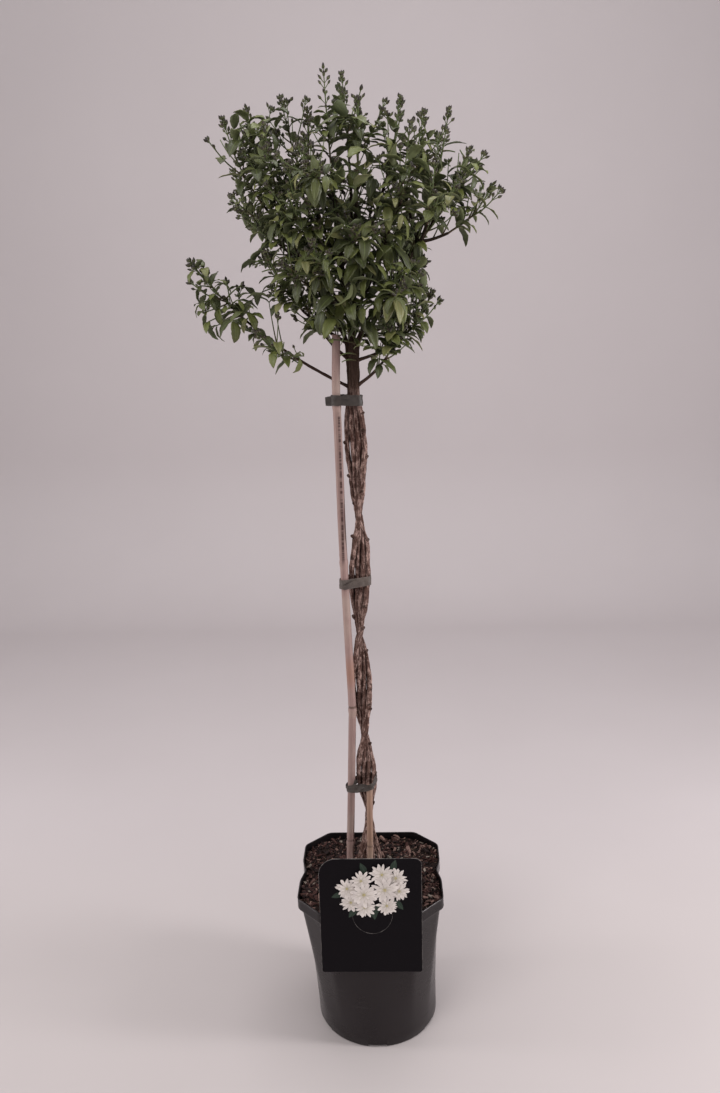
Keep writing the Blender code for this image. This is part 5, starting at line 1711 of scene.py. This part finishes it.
def add_tongue(card):
    # The half moon bent back over the rim.
    route = smooth_path([(0.0, y, z) for y, z in TONGUE_ROUTE], 0.0012)
    run = lengths(route)
    shape = Shape()
    forward, _, _ = frames(route)
    points = []
    for k, point in enumerate(route):
        half = moon_half_width(min(run[k] * 0.93, TONGUE_REACH * 0.995)) * 0.985
        normal = np.array((0.0, -forward[k][2], forward[k][1])) * CARD_THICKNESS / 2
        for x, sign in ((-half, -1), (half, -1), (half, 1), (-half, 1)):
            points.append(point + normal * sign + np.array((TONGUE_CENTRE + x, 0.0, 0.0)))
    faces = grid_faces(len(route), 4) + [(3, 2, 1, 0), tuple(range(len(points) - 4, len(points)))]
    shape.add(points, faces, 0)
    tongue = shape.make("card_tongue", (card.data.materials[0],), 30)
    facing_out(tongue)
    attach(tongue, "root")


def facing_out(made):
    work = bmesh.new()
    work.from_mesh(made.data)
    bmesh.ops.recalc_face_normals(work, faces=work.faces)
    work.to_mesh(made.data)
    work.free()


# Flowers on the card: position x and z, size, turn. Sprigs of leaves: position, turn, size.
BLOSSOMS = (
    (0.029, 0.25, 0.0135, 0.2), (-0.025, 0.218, 0.0125, 0.8), (0.033, 0.233, 0.013, 1.4),
    (-0.029, 0.237, 0.0135, 0.5), (0.018, 0.214, 0.0125, 0.9), (-0.008, 0.212, 0.013, 1.9),
    (0.013, 0.256, 0.014, 0.4), (-0.012, 0.248, 0.013, 1.1), (0.016, 0.236, 0.0165, 0.1),
    (-0.009, 0.23, 0.017, 0.7))
SPRIGS = (
    (-0.034, 0.23, 3.5, 0.015), (0.025, 0.259, 1.3, 0.016), (-0.018, 0.211, -2.2, 0.017),
    (0.002, 0.212, -1.5, 0.018), (0.027, 0.221, -0.9, 0.017), (-0.006, 0.256, 2.0, 0.016),
    (0.009, 0.216, -2.0, 0.018))
PETAL_RINGS = ((12, 1.0), (11, 0.84), (9, 0.66), (7, 0.46))
PRINT_STEP = 0.000008


def add_flat(shape, outline, y, place, marks):
    # A paper-thin printed shape on the card: a fan round its first point.
    count = len(outline)
    points = [(x, y, z) for x, z in outline]
    faces = [(0, k, k + 1) for k in range(1, count - 1)]
    shape.add(points, faces, place, marks)


def petal_outline(x, z, turn, size, rng):
    # A broad petal with a blunt wavy end.
    points = [(x, z)]
    marks = [(0.0, 0.0, 0.0)]
    tint = rng.random()
    for k in range(17):
        t = k / 16
        around = (t - 0.5) * 1.25
        reach = size * math.sin(math.pi * min(max(t, 0.03), 0.97)) ** 0.34
        reach *= 1.0 + 0.05 * math.sin(9 * t + 6 * tint) + 0.06 * math.exp(-((t - 0.5) / 0.10) ** 2)
        angle = turn + around * 0.42
        points.append((x + reach * math.cos(angle), z + reach * math.sin(angle)))
        marks.append((tint, 1.0, around))
    return points, marks


def make_flowers(front):
    shape = Shape()
    rng = random.Random("flowers")
    layer = front - 0.00006
    for x, z, turn, size in SPRIGS:
        points = []
        marks = []
        c, s = math.cos(turn), math.sin(turn)
        for t in np.linspace(0.02, 0.98, 17):
            share = 1 - abs(2 * t - 1)
            along = size * share
            across = (1 if t < 0.5 else -1) * 0.24 * size * math.sin(math.pi * share ** 0.85) ** 0.9
            points.append((x + along * c - across * s, z + along * s + across * c))
            marks.append((0.3, share, across / size))
        add_flat(shape, points, layer, 0, marks)
        layer -= PRINT_STEP
    for x, z, size, turn in BLOSSOMS:
        for ring, (count, scale) in enumerate(PETAL_RINGS):
            for k in range(count):
                angle = turn + 2 * math.pi * k / count + 0.45 * ring + rng.uniform(-0.12, 0.12)
                points, marks = petal_outline(x, z, angle, size * scale * rng.uniform(0.90, 1.06), rng)
                add_flat(shape, points, layer, 1, marks)
                layer -= PRINT_STEP
        for k in range(5):
            angle = 2 * math.pi * k / 5 + turn
            cx, cz = x + 0.08 * size * math.cos(angle), z + 0.08 * size * math.sin(angle)
            turns = np.linspace(0, 2 * math.pi, 9)
            dot = [(cx + 0.035 * size * math.cos(a), cz + 0.035 * size * math.sin(a)) for a in turns]
            add_flat(shape, dot, layer, 2, (0.5, 0.5, 0.5))
        layer -= PRINT_STEP
    made = shape.make("card_picture", (print_leaf_look(), petal_look(), pollen_look()))
    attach(made, "root")


# Materials
class Look:
    # A material made of linked nodes.
    def __init__(self, name, specular=0.5):
        self.made = bpy.data.materials.new(name)
        self.made.use_nodes = True
        self.tree = self.made.node_tree
        self.shader = self.tree.nodes["Principled BSDF"]
        self.shader.inputs["Specular IOR Level"].default_value = specular

    def link(self, socket, value):
        if isinstance(value, bpy.types.NodeSocket):
            self.tree.links.new(value, socket)
        elif isinstance(value, tuple) and socket.type == "RGBA":
            socket.default_value = (*value, 1.0)
        else:
            socket.default_value = value

    def math(self, operation, a, b=0.0):
        made = self.tree.nodes.new("ShaderNodeMath")
        made.operation = operation
        self.link(made.inputs[0], a)
        self.link(made.inputs[1], b)
        return made.outputs[0]

    def times(self, a, b):
        return self.math("MULTIPLY", a, b)

    def plus(self, a, b):
        return self.math("ADD", a, b)

    def minus(self, a, b):
        return self.math("SUBTRACT", a, b)

    def size(self, a):
        return self.math("ABSOLUTE", a)

    def mix(self, share, a, b):
        made = self.tree.nodes.new("ShaderNodeMix")
        made.data_type = "RGBA"
        self.link(made.inputs[0], share)
        self.link(made.inputs[6], a)
        self.link(made.inputs[7], b)
        return made.outputs[2]

    def span(self, value, low, high, to_low=0.0, to_high=1.0):
        made = self.tree.nodes.new("ShaderNodeMapRange")
        made.interpolation_type = "SMOOTHSTEP"
        self.link(made.inputs["Value"], value)
        for name, number in (("From Min", low), ("From Max", high), ("To Min", to_low), ("To Max", to_high)):
            made.inputs[name].default_value = number
        return made.outputs["Result"]

    def rough(self, value, low, high):
        return self.span(value, 0.3, 0.7, low, high)

    def place(self):
        return self.tree.nodes.new("ShaderNodeTexCoord").outputs["Object"]

    def noise(self, scale, detail=3.0, where=None, distortion=0.0, rough=0.55):
        made = self.tree.nodes.new("ShaderNodeTexNoise")
        made.inputs["Scale"].default_value = scale
        made.inputs["Detail"].default_value = detail
        made.inputs["Roughness"].default_value = rough
        made.inputs["Distortion"].default_value = distortion
        self.link(made.inputs["Vector"], self.place() if where is None else where)
        return made.outputs["Fac"]

    def cells(self, scale):
        made = self.tree.nodes.new("ShaderNodeTexVoronoi")
        made.inputs["Scale"].default_value = scale
        self.link(made.inputs["Vector"], self.place())
        return made.outputs["Color"]

    def stretched(self, x, y, z, where=None):
        made = self.tree.nodes.new("ShaderNodeMapping")
        self.link(made.inputs["Vector"], self.place() if where is None else where)
        made.inputs["Scale"].default_value = (x, y, z)
        return made.outputs["Vector"]

    def parts(self, vector):
        made = self.tree.nodes.new("ShaderNodeSeparateXYZ")
        self.tree.links.new(vector, made.inputs[0])
        return tuple(made.outputs)

    def attribute(self, name):
        made = self.tree.nodes.new("ShaderNodeAttribute")
        made.attribute_name = name
        return (*self.parts(made.outputs["Vector"]), made.outputs["Vector"])

    def finish(self, color, roughness, height=None, strength=0.5, distance=0.001):
        self.link(self.shader.inputs["Base Color"], color)
        self.link(self.shader.inputs["Roughness"], roughness)
        if height is not None:
            bump = self.tree.nodes.new("ShaderNodeBump")
            bump.inputs["Strength"].default_value = strength
            bump.inputs["Distance"].default_value = distance
            self.tree.links.new(height, bump.inputs["Height"])
            self.tree.links.new(bump.outputs["Normal"], self.shader.inputs["Normal"])
        return self.made


def keep(make):
    # Makes a material once and hands out the same one again.
    made = {}

    def get(*args):
        if args not in made:
            made[args] = make(*args)
        return made[args]
    return get


@keep
def leaf_look(under):
    look = Look("leaf_under" if under else "leaf_top", 0.30 if under else 0.45)
    tint, u, v, _ = look.attribute("mark")
    away = look.size(v)
    patches = look.noise(55.0, 3.0)
    fine = look.noise(900.0, 2.0)
    dark = look.mix(patches, (0.033, 0.039, 0.015), (0.072, 0.082, 0.028))
    fresh = look.mix(patches, (0.104, 0.119, 0.031), (0.170, 0.188, 0.052))
    olive = look.mix(patches, (0.165, 0.163, 0.058), (0.245, 0.238, 0.105))
    color = look.mix(look.span(tint, 0.20, 0.80), dark, fresh)
    color = look.mix(look.span(tint, 0.86, 0.95), color, olive)
    rib = look.span(away, 0.035, 0.11, 1.0, 0.0)
    slant = look.minus(u, look.times(away, 0.22))
    wave = look.size(look.math("SINE", look.times(slant, 25.0)))
    vein = look.times(look.span(wave, 0.0, 0.16, 1.0, 0.0), look.span(away, 0.85, 0.98, 1.0, 0.0))
    color = look.mix(look.times(rib, 0.55), color, (0.15, 0.19, 0.06))
    color = look.mix(look.times(vein, 0.22), color, (0.11, 0.15, 0.05))
    color = look.mix(look.times(look.span(u, 0.80, 1.0), 0.35), color, (0.05, 0.045, 0.016))
    if under:
        # The underside is paler: partly its own lighter green, partly painted light standing in for light
        # shining through the leaf.
        color = look.mix(0.62, color, (0.150, 0.172, 0.092))
    ridge = look.math("MAXIMUM", rib, look.times(vein, 0.6))
    height = look.minus(look.times(fine, 0.25), ridge)
    rough = look.span(look.noise(260.0), 0.3, 0.7, 0.60 if under else 0.36, 0.74 if under else 0.52)
    return look.finish(color, rough, height, 0.35, 0.0004)


@keep
def stalk_look():
    look = Look("green_stalk", 0.35)
    tint, share, _, _ = look.attribute("mark")
    speck = look.noise(700.0)
    green = look.mix(speck, (0.070, 0.095, 0.030), (0.115, 0.140, 0.050))
    brown = look.mix(speck, (0.070, 0.045, 0.026), (0.110, 0.075, 0.040))
    low = look.times(look.span(share, 0.0, 0.55, 1.0, 0.0), look.span(tint, 0.45, 0.5))
    return look.finish(look.mix(low, green, brown), look.rough(speck, 0.5, 0.65), speck, 0.2, 0.0003)


@keep
def bud_look():
    look = Look("bud", 0.40)
    tint, share, turn, _ = look.attribute("mark")
    speck = look.noise(800.0)
    base = look.mix(tint, (0.070, 0.076, 0.030), (0.150, 0.155, 0.072))
    tip = look.mix(tint, (0.013, 0.009, 0.007), (0.036, 0.021, 0.016))
    seam = look.size(look.math("SINE", look.times(turn, 12.566)))
    shaded = look.times(look.span(seam, 0.0, 0.25, 1.0, 0.0), 0.45)
    dark = look.math("MAXIMUM", look.span(share, 0.30, 0.66), shaded)
    color = look.mix(dark, base, tip)
    color = look.mix(look.times(speck, 0.25), color, (0.06, 0.06, 0.030))
    return look.finish(color, look.rough(speck, 0.45, 0.6), look.plus(speck, seam), 0.25, 0.0003)


@keep
def bark_look():
    look = Look("stem_bark", 0.12)
    _, deep, _, _ = look.attribute("mark")
    flow = look.attribute("flow")[3]
    strands = look.noise(1.7, 5.0, look.stretched(1.5, 1.5, 60.0, flow), 0.7, 0.65)
    rings = look.noise(1.3, 3.0, look.stretched(1.0, 1.0, 330.0, flow), 0.5, 0.6)
    blotch = look.noise(105.0, 4.0)
    fleck = look.noise(430.0, 3.0)
    height = look.parts(look.place())[2]
    grey = look.mix(look.span(strands, 0.38, 0.64), (0.072, 0.036, 0.029), (0.520, 0.352, 0.305))
    red = look.mix(strands, (0.030, 0.016, 0.012), (0.125, 0.078, 0.060))
    dark = look.mix(strands, (0.016, 0.011, 0.009), (0.065, 0.044, 0.030))
    color = look.mix(look.span(blotch, 0.44, 0.58, 0.0, 0.85), grey, (0.098, 0.050, 0.039))
    color = look.mix(look.span(rings, 0.52, 0.66, 0.0, 0.65), color, (0.042, 0.019, 0.015))
    # Darkest in the low parts of the strands' bump: partly the bark's own dark fissures, partly painted shade
    # in them.
    color = look.mix(look.span(strands, 0.30, 0.45, 1.0, 0.0), color, (0.028, 0.012, 0.009))
    # Redder, then darker bark from the fork upwards: partly the younger wood's own colour, partly painted
    # shade under the leaves.
    color = look.mix(look.span(height, 0.80, 0.83), color, red)
    color = look.mix(look.span(height, 0.84, 0.92), color, dark)
    color = look.mix(look.span(fleck, 0.64, 0.74, 0.0, 0.5), color, (0.36, 0.28, 0.22))
    # Painted shade: near black where the stems lie close together, from the crevice mark, broken up by the
    # blotches.
    broken = look.times(deep, look.span(blotch, 0.36, 0.60, 0.62, 1.0))
    color = look.mix(broken, color, (0.018, 0.008, 0.006))
    relief = look.plus(look.times(strands, 1.2), look.times(rings, 0.6))
    relief = look.plus(relief, look.times(fleck, 0.35))
    return look.finish(color, look.rough(fleck, 0.78, 0.96), relief, 1.0, 0.0016)


@keep
def dark_wood_look():
    look = Look("cut_wood", 0.2)
    grain = look.noise(600.0, 3.0)
    color = look.mix(grain, (0.016, 0.011, 0.008), (0.060, 0.040, 0.028))
    return look.finish(color, look.rough(grain, 0.8, 0.95), grain, 0.5, 0.0005)


@keep
def bamboo_look(name, tone, grooved):
    look = Look(name, 0.35)
    x, _, z = look.parts(look.place())
    streak = look.noise(1.0, 4.0, look.stretched(900.0, 900.0, 14.0))
    haze = look.noise(28.0, 3.0)
    speck = look.noise(420.0, 2.0)
    pale = tuple(min(1.0, c * 1.35 + 0.02) for c in tone)
    deep = tuple(c * 0.62 for c in tone)
    color = look.mix(streak, deep, pale)
    color = look.mix(look.span(haze, 0.40, 0.70, 0.0, 0.45), color, (0.40, 0.32, 0.27))
    color = look.mix(look.span(speck, 0.68, 0.76, 0.0, 0.55), color, (0.10, 0.055, 0.035))
    for node, ring in zip(CANE_NODES, NODE_RINGS):
        gap = look.size(look.minus(z, node + 0.0045))
        color = look.mix(look.span(gap, 0.0006, 0.0022, ring, 0.0), color, (0.085, 0.050, 0.035))
        glow = look.size(look.minus(z, node - 0.004))
        color = look.mix(look.span(glow, 0.001, 0.008, 0.5 * ring, 0.0), color, (0.40, 0.31, 0.25))
    color = look.mix(look.span(z, 0.30, 0.50, 0.22, 0.0), color, (0.085, 0.050, 0.046))
    relief = streak
    if grooved:
        stain = look.size(look.minus(z, 0.478))
        rust = look.times(look.span(stain, 0.004, 0.030, 0.7, 0.0), streak)
        color = look.mix(rust, color, (0.30, 0.12, 0.045))
        right = look.minus(x, GROOVE_X)
        line = look.span(look.size(right), 0.0009, 0.0020, 1.0, 0.0)
        band = look.times(look.span(z, 0.610, 0.625), look.span(z, 0.785, 0.797, 1.0, 0.0))
        broken = look.noise(1.0, 2.0, look.stretched(20.0, 20.0, 330.0), 0.0, 0.6)
        dots = look.span(broken, 0.40, 0.58, 0.45, 1.0)
        groove = look.times(look.times(line, band), dots)
        color = look.mix(look.times(groove, 0.92), color, (0.034, 0.009, 0.008))
        bare = look.span(look.size(look.plus(right, 0.0026)), 0.0006, 0.0026, 0.45, 0.0)
        color = look.mix(look.times(bare, band), color, (0.200, 0.120, 0.100))
        relief = look.minus(streak, look.times(groove, 1.5))
    return look.finish(color, look.rough(haze, 0.45, 0.65), relief, 0.35, 0.0006)


@keep
def tape_look(name, light):
    look = Look(name, 0.35)
    _, across, _, _ = look.attribute("mark")
    crease = look.noise(240.0, 4.0, None, 1.2)
    haze = look.noise(60.0)
    low, high, worn, rim = [tuple(light * c for c in tone) for tone in (
        (0.030, 0.023, 0.020), (0.105, 0.084, 0.074), (0.100, 0.078, 0.064), (0.130, 0.108, 0.098))]
    # Painted shade and light on the creases: darker in their hollows, lighter on their ridges, following the
    # bump.
    color = look.mix(crease, low, high)
    color = look.mix(look.span(haze, 0.45, 0.75, 0.0, 0.5), color, worn)
    color = look.mix(look.span(across, 0.0, 0.16, 0.35, 0.0), color, rim)
    return look.finish(color, look.rough(crease, 0.38, 0.62), crease, 0.5, 0.0007)


@keep
def plastic_look():
    look = Look("black_plastic", 0.30)
    look.shader.inputs["Specular Tint"].default_value = (1.0, 0.91, 0.93, 1.0)
    z = look.parts(look.place())[2]
    haze = look.noise(18.0, 4.0)
    grain = look.noise(1500.0, 2.0)
    scuff = look.noise(1.0, 5.0, look.stretched(30.0, 30.0, 260.0), 0.6)
    dust = look.noise(480.0, 2.0)
    color = look.mix(haze, (0.0085, 0.0065, 0.0070), (0.0150, 0.0122, 0.0130))
    color = look.mix(look.span(scuff, 0.60, 0.72, 0.0, 0.16), color, (0.050, 0.046, 0.046))
    low = look.span(z, 0.0, 0.030, 1.0, 0.15)
    dusty = look.times(look.span(dust, 0.62, 0.74, 0.0, 0.3), low)
    color = look.mix(dusty, color, (0.14, 0.115, 0.10))
    # Painted shade: darker towards the top of the body and on the rim band, under the rim's overhang and
    # behind the card.
    color = look.mix(look.span(z, 0.10, 0.19, 0.0, 0.5), color, (0.0025, 0.0020, 0.0026))
    rough = look.plus(look.rough(haze, 0.24, 0.34), look.span(scuff, 0.55, 0.75, 0.0, 0.12))
    relief = look.plus(look.times(grain, 0.15), look.times(look.noise(9.0), 1.5))
    return look.finish(color, rough, relief, 0.16, 0.0008)


@keep
def soil_look():
    look = Look("soil_crumb", 0.2)
    a = look.noise(260.0, 5.0)
    shade = look.parts(look.cells(420.0))[0]
    color = look.mix(a, (0.004, 0.002, 0.0015), (0.020, 0.010, 0.007))
    color = look.mix(look.span(shade, 0.86, 0.95, 0.0, 0.6), color, (0.20, 0.13, 0.09))
    return look.finish(color, look.rough(a, 0.85, 1.0), a, 1.0, 0.003)


@keep
def chip_look():
    look = Look("bark_chip", 0.25)
    tint, _, _, _ = look.attribute("mark")
    grain = look.noise(1.0, 4.0, look.stretched(300.0, 800.0, 500.0), 0.5)
    dark = look.mix(grain, (0.003, 0.0015, 0.0015), (0.021, 0.009, 0.008))
    red = look.mix(grain, (0.017, 0.007, 0.006), (0.082, 0.034, 0.028))
    tan = look.mix(grain, (0.105, 0.057, 0.047), (0.255, 0.162, 0.135))
    grey = look.mix(grain, (0.140, 0.110, 0.090), (0.280, 0.235, 0.200))
    color = look.mix(look.span(tint, 0.40, 0.52), dark, red)
    color = look.mix(look.span(tint, 0.82, 0.88), color, tan)
    color = look.mix(look.span(tint, 0.965, 0.975), color, grey)
    return look.finish(color, look.rough(grain, 0.75, 0.95), grain, 0.8, 0.0012)


@keep
def card_look():
    look = Look("black_card", 0.10)
    haze = look.noise(40.0, 3.0)
    fibre = look.noise(1.0, 3.0, look.stretched(700.0, 700.0, 160.0))
    color = look.mix(haze, (0.0028, 0.0018, 0.0030), (0.0052, 0.0036, 0.0052))
    color = look.mix(look.span(fibre, 0.66, 0.80, 0.0, 0.15), color, (0.030, 0.028, 0.028))
    return look.finish(color, look.rough(haze, 0.48, 0.60), fibre, 0.10, 0.0003)


@keep
def card_edge_look():
    look = Look("card_edge", 0.3)
    worn = look.noise(160.0, 4.0)
    color = look.mix(look.span(worn, 0.35, 0.65), (0.030, 0.027, 0.027), (0.180, 0.165, 0.155))
    return look.finish(color, look.rough(worn, 0.45, 0.7), worn, 0.2, 0.0003)


@keep
def petal_look():
    look = Look("printed_petal", 0.3)
    tint, out, side, _ = look.attribute("mark")
    folds = look.size(look.math("SINE", look.times(side, 11.0)))
    soft = look.noise(300.0, 3.0)
    color = look.mix(look.span(out, 0.1, 0.95), (0.40, 0.36, 0.26), (0.86, 0.79, 0.75))
    creased = look.times(look.span(folds, 0.0, 0.5, 0.35, 0.0), out)
    color = look.mix(creased, color, (0.50, 0.45, 0.42))
    color = look.mix(look.times(soft, 0.25), color, (0.66, 0.60, 0.55))
    color = look.mix(look.times(tint, 0.55), color, (0.46, 0.41, 0.39))
    return look.finish(color, look.rough(soft, 0.35, 0.5), soft, 0.08, 0.0002)


@keep
def print_leaf_look():
    look = Look("printed_leaf", 0.3)
    tint, _, across, _ = look.attribute("mark")
    soft = look.noise(260.0, 3.0)
    color = look.mix(look.times(soft, tint), (0.010, 0.020, 0.013), (0.060, 0.100, 0.070))
    rib = look.span(look.size(across), 0.0, 0.05, 0.5, 0.0)
    color = look.mix(rib, color, (0.05, 0.08, 0.055))
    return look.finish(color, look.rough(soft, 0.35, 0.5), soft, 0.08, 0.0002)


@keep
def pollen_look():
    look = Look("printed_pollen", 0.3)
    soft = look.noise(900.0, 2.0)
    color = look.mix(soft, (0.42, 0.33, 0.07), (0.70, 0.60, 0.22))
    return look.finish(color, look.rough(soft, 0.4, 0.55), soft, 0.1, 0.0002)


# Stage, light and camera
FLOOR_FRONT = -3.0
FLOOR_BACK = 1.6
FLOOR_BEND = 0.5
FLOOR_HALF = 4.0
WALL_TOP = 3.4
LIGHTS = (
    ("key", (-1.3, -1.9, 2.3), (0.0, 0.0, 0.55), (1.4, 1.4), 30, (1.0, 0.97, 0.95)),
    ("side_left", (-1.6, -0.1, 0.7), (0.0, 0.0, 0.2), (0.30, 1.5), 8, (1.0, 0.98, 0.98)),
    ("side_right", (1.6, -0.3, 0.85), (0.0, 0.0, 0.3), (0.30, 1.3), 20, (1.0, 0.98, 0.98)),
    ("top", (0.3, 0.1, 2.9), (0.0, 0.0, 0.6), (1.8, 1.8), 30, (1.0, 0.99, 1.0)))


def make_stage():
    look = Look("pale_floor", 0.3)
    haze = look.noise(3.0, 3.0)
    y = look.parts(look.place())[1]
    near = look.mix(haze, (0.485, 0.440, 0.436), (0.513, 0.467, 0.463))
    far = look.mix(haze, (0.510, 0.463, 0.468), (0.544, 0.497, 0.502))
    tone = look.mix(look.span(y, 0.05, 0.55), near, far)
    floor_look = look.finish(tone, look.rough(haze, 0.6, 0.7))
    profile = [(FLOOR_FRONT, 0.0), (FLOOR_BACK, 0.0)]
    for a in np.linspace(0.1, math.pi / 2, 12):
        profile.append((FLOOR_BACK + FLOOR_BEND * math.sin(a), FLOOR_BEND - FLOOR_BEND * math.cos(a)))
    profile.append((FLOOR_BACK + FLOOR_BEND, WALL_TOP))
    points = [(x, y, z) for y, z in profile for x in (-FLOOR_HALF, FLOOR_HALF)]
    faces = [(2 * k, 2 * k + 1, 2 * k + 3, 2 * k + 2) for k in range(len(profile) - 1)]
    floor = make_object("floor", points, faces, floor_look, smooth=True)


def add_light(name, place, target, size, power, color):
    data = bpy.data.lights.new(name, "AREA")
    data.shape = "RECTANGLE"
    data.size, data.size_y = size
    data.energy = power
    data.color = color
    lamp = bpy.data.objects.new(name, data)
    lamp.location = place
    lamp.rotation_euler = (Vector(target) - Vector(place)).to_track_quat("-Z", "Y").to_euler()
    bpy.context.scene.collection.objects.link(lamp)


def make_light():
    bpy.context.scene.view_settings.view_transform = "Standard"
    world = bpy.data.worlds.new("soft_light")
    world.use_nodes = True
    ground = world.node_tree.nodes["Background"]
    ground.inputs["Color"].default_value = (0.86, 0.84, 0.86, 1.0)
    ground.inputs["Strength"].default_value = 0.55
    bpy.context.scene.world = world
    for light in LIGHTS:
        add_light(*light)


def make_camera():
    data = bpy.data.cameras.new("view")
    data.lens = LENS
    data.sensor_width = SENSOR
    data.clip_start = 0.05
    camera = bpy.data.objects.new("view", data)
    turn = Matrix((CAMERA_RIGHT, CAMERA_UP, -CAMERA_FORWARD)).transposed()
    camera.matrix_world = Matrix.Translation(CAMERA_PLACE) @ turn.to_4x4()
    bpy.context.scene.collection.objects.link(camera)
    bpy.context.scene.camera = camera


def build():
    space = Space()
    canes = ((np.array(cane_path()), CANE_RADIUS), (stub_path(4), STUB_RADIUS))
    for number, (path, radius) in enumerate(canes):
        space.add(STEM_COUNT + number, onward(path, 0.0, STEM_BALL_STEP), radius)
    wood, sprays = grow_crown(space)
    looks = (leaf_look(False), leaf_look(True), stalk_look(), bud_look())
    thin = np.isin(space.radius, (LEAF_BALL, BUD_BALL, STEM_BALL))
    space.radius[thin] = FINE_OLD_BALL
    fine = [refine_spray(space, spray) for spray in sprays]
    shoots = [wood_shoots(space, index, tubes) for index, tubes in enumerate(wood)]
    reach_shoots(space, wood, sprays, shoots, fine)
    for spray, parts in zip(sprays, fine):
        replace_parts(make_foliage("leafy_" + spray["name"], parts, looks), spray["name"])
    for index, parts in enumerate(shoots):
        make_foliage(f"leafy_shoots_{index + 1}", parts, looks)
    for index, tubes in enumerate(wood):
        make_stem(index, tubes)
    rods = [(wood[k][0][0], STEM_RADIUS) for k in range(STEM_COUNT)]
    rods += [(canes[0][0], CANE_RADIUS + CANE_NODE_SWELL), (canes[1][0], STUB_RADIUS)]
    for name, middle in TIE_HEIGHTS.items():
        make_tie(name, middle, rods)
    make_canes()
    make_pot()
    make_soil()
    make_flowers(make_card())


build()
make_stage()
make_light()
make_camera()
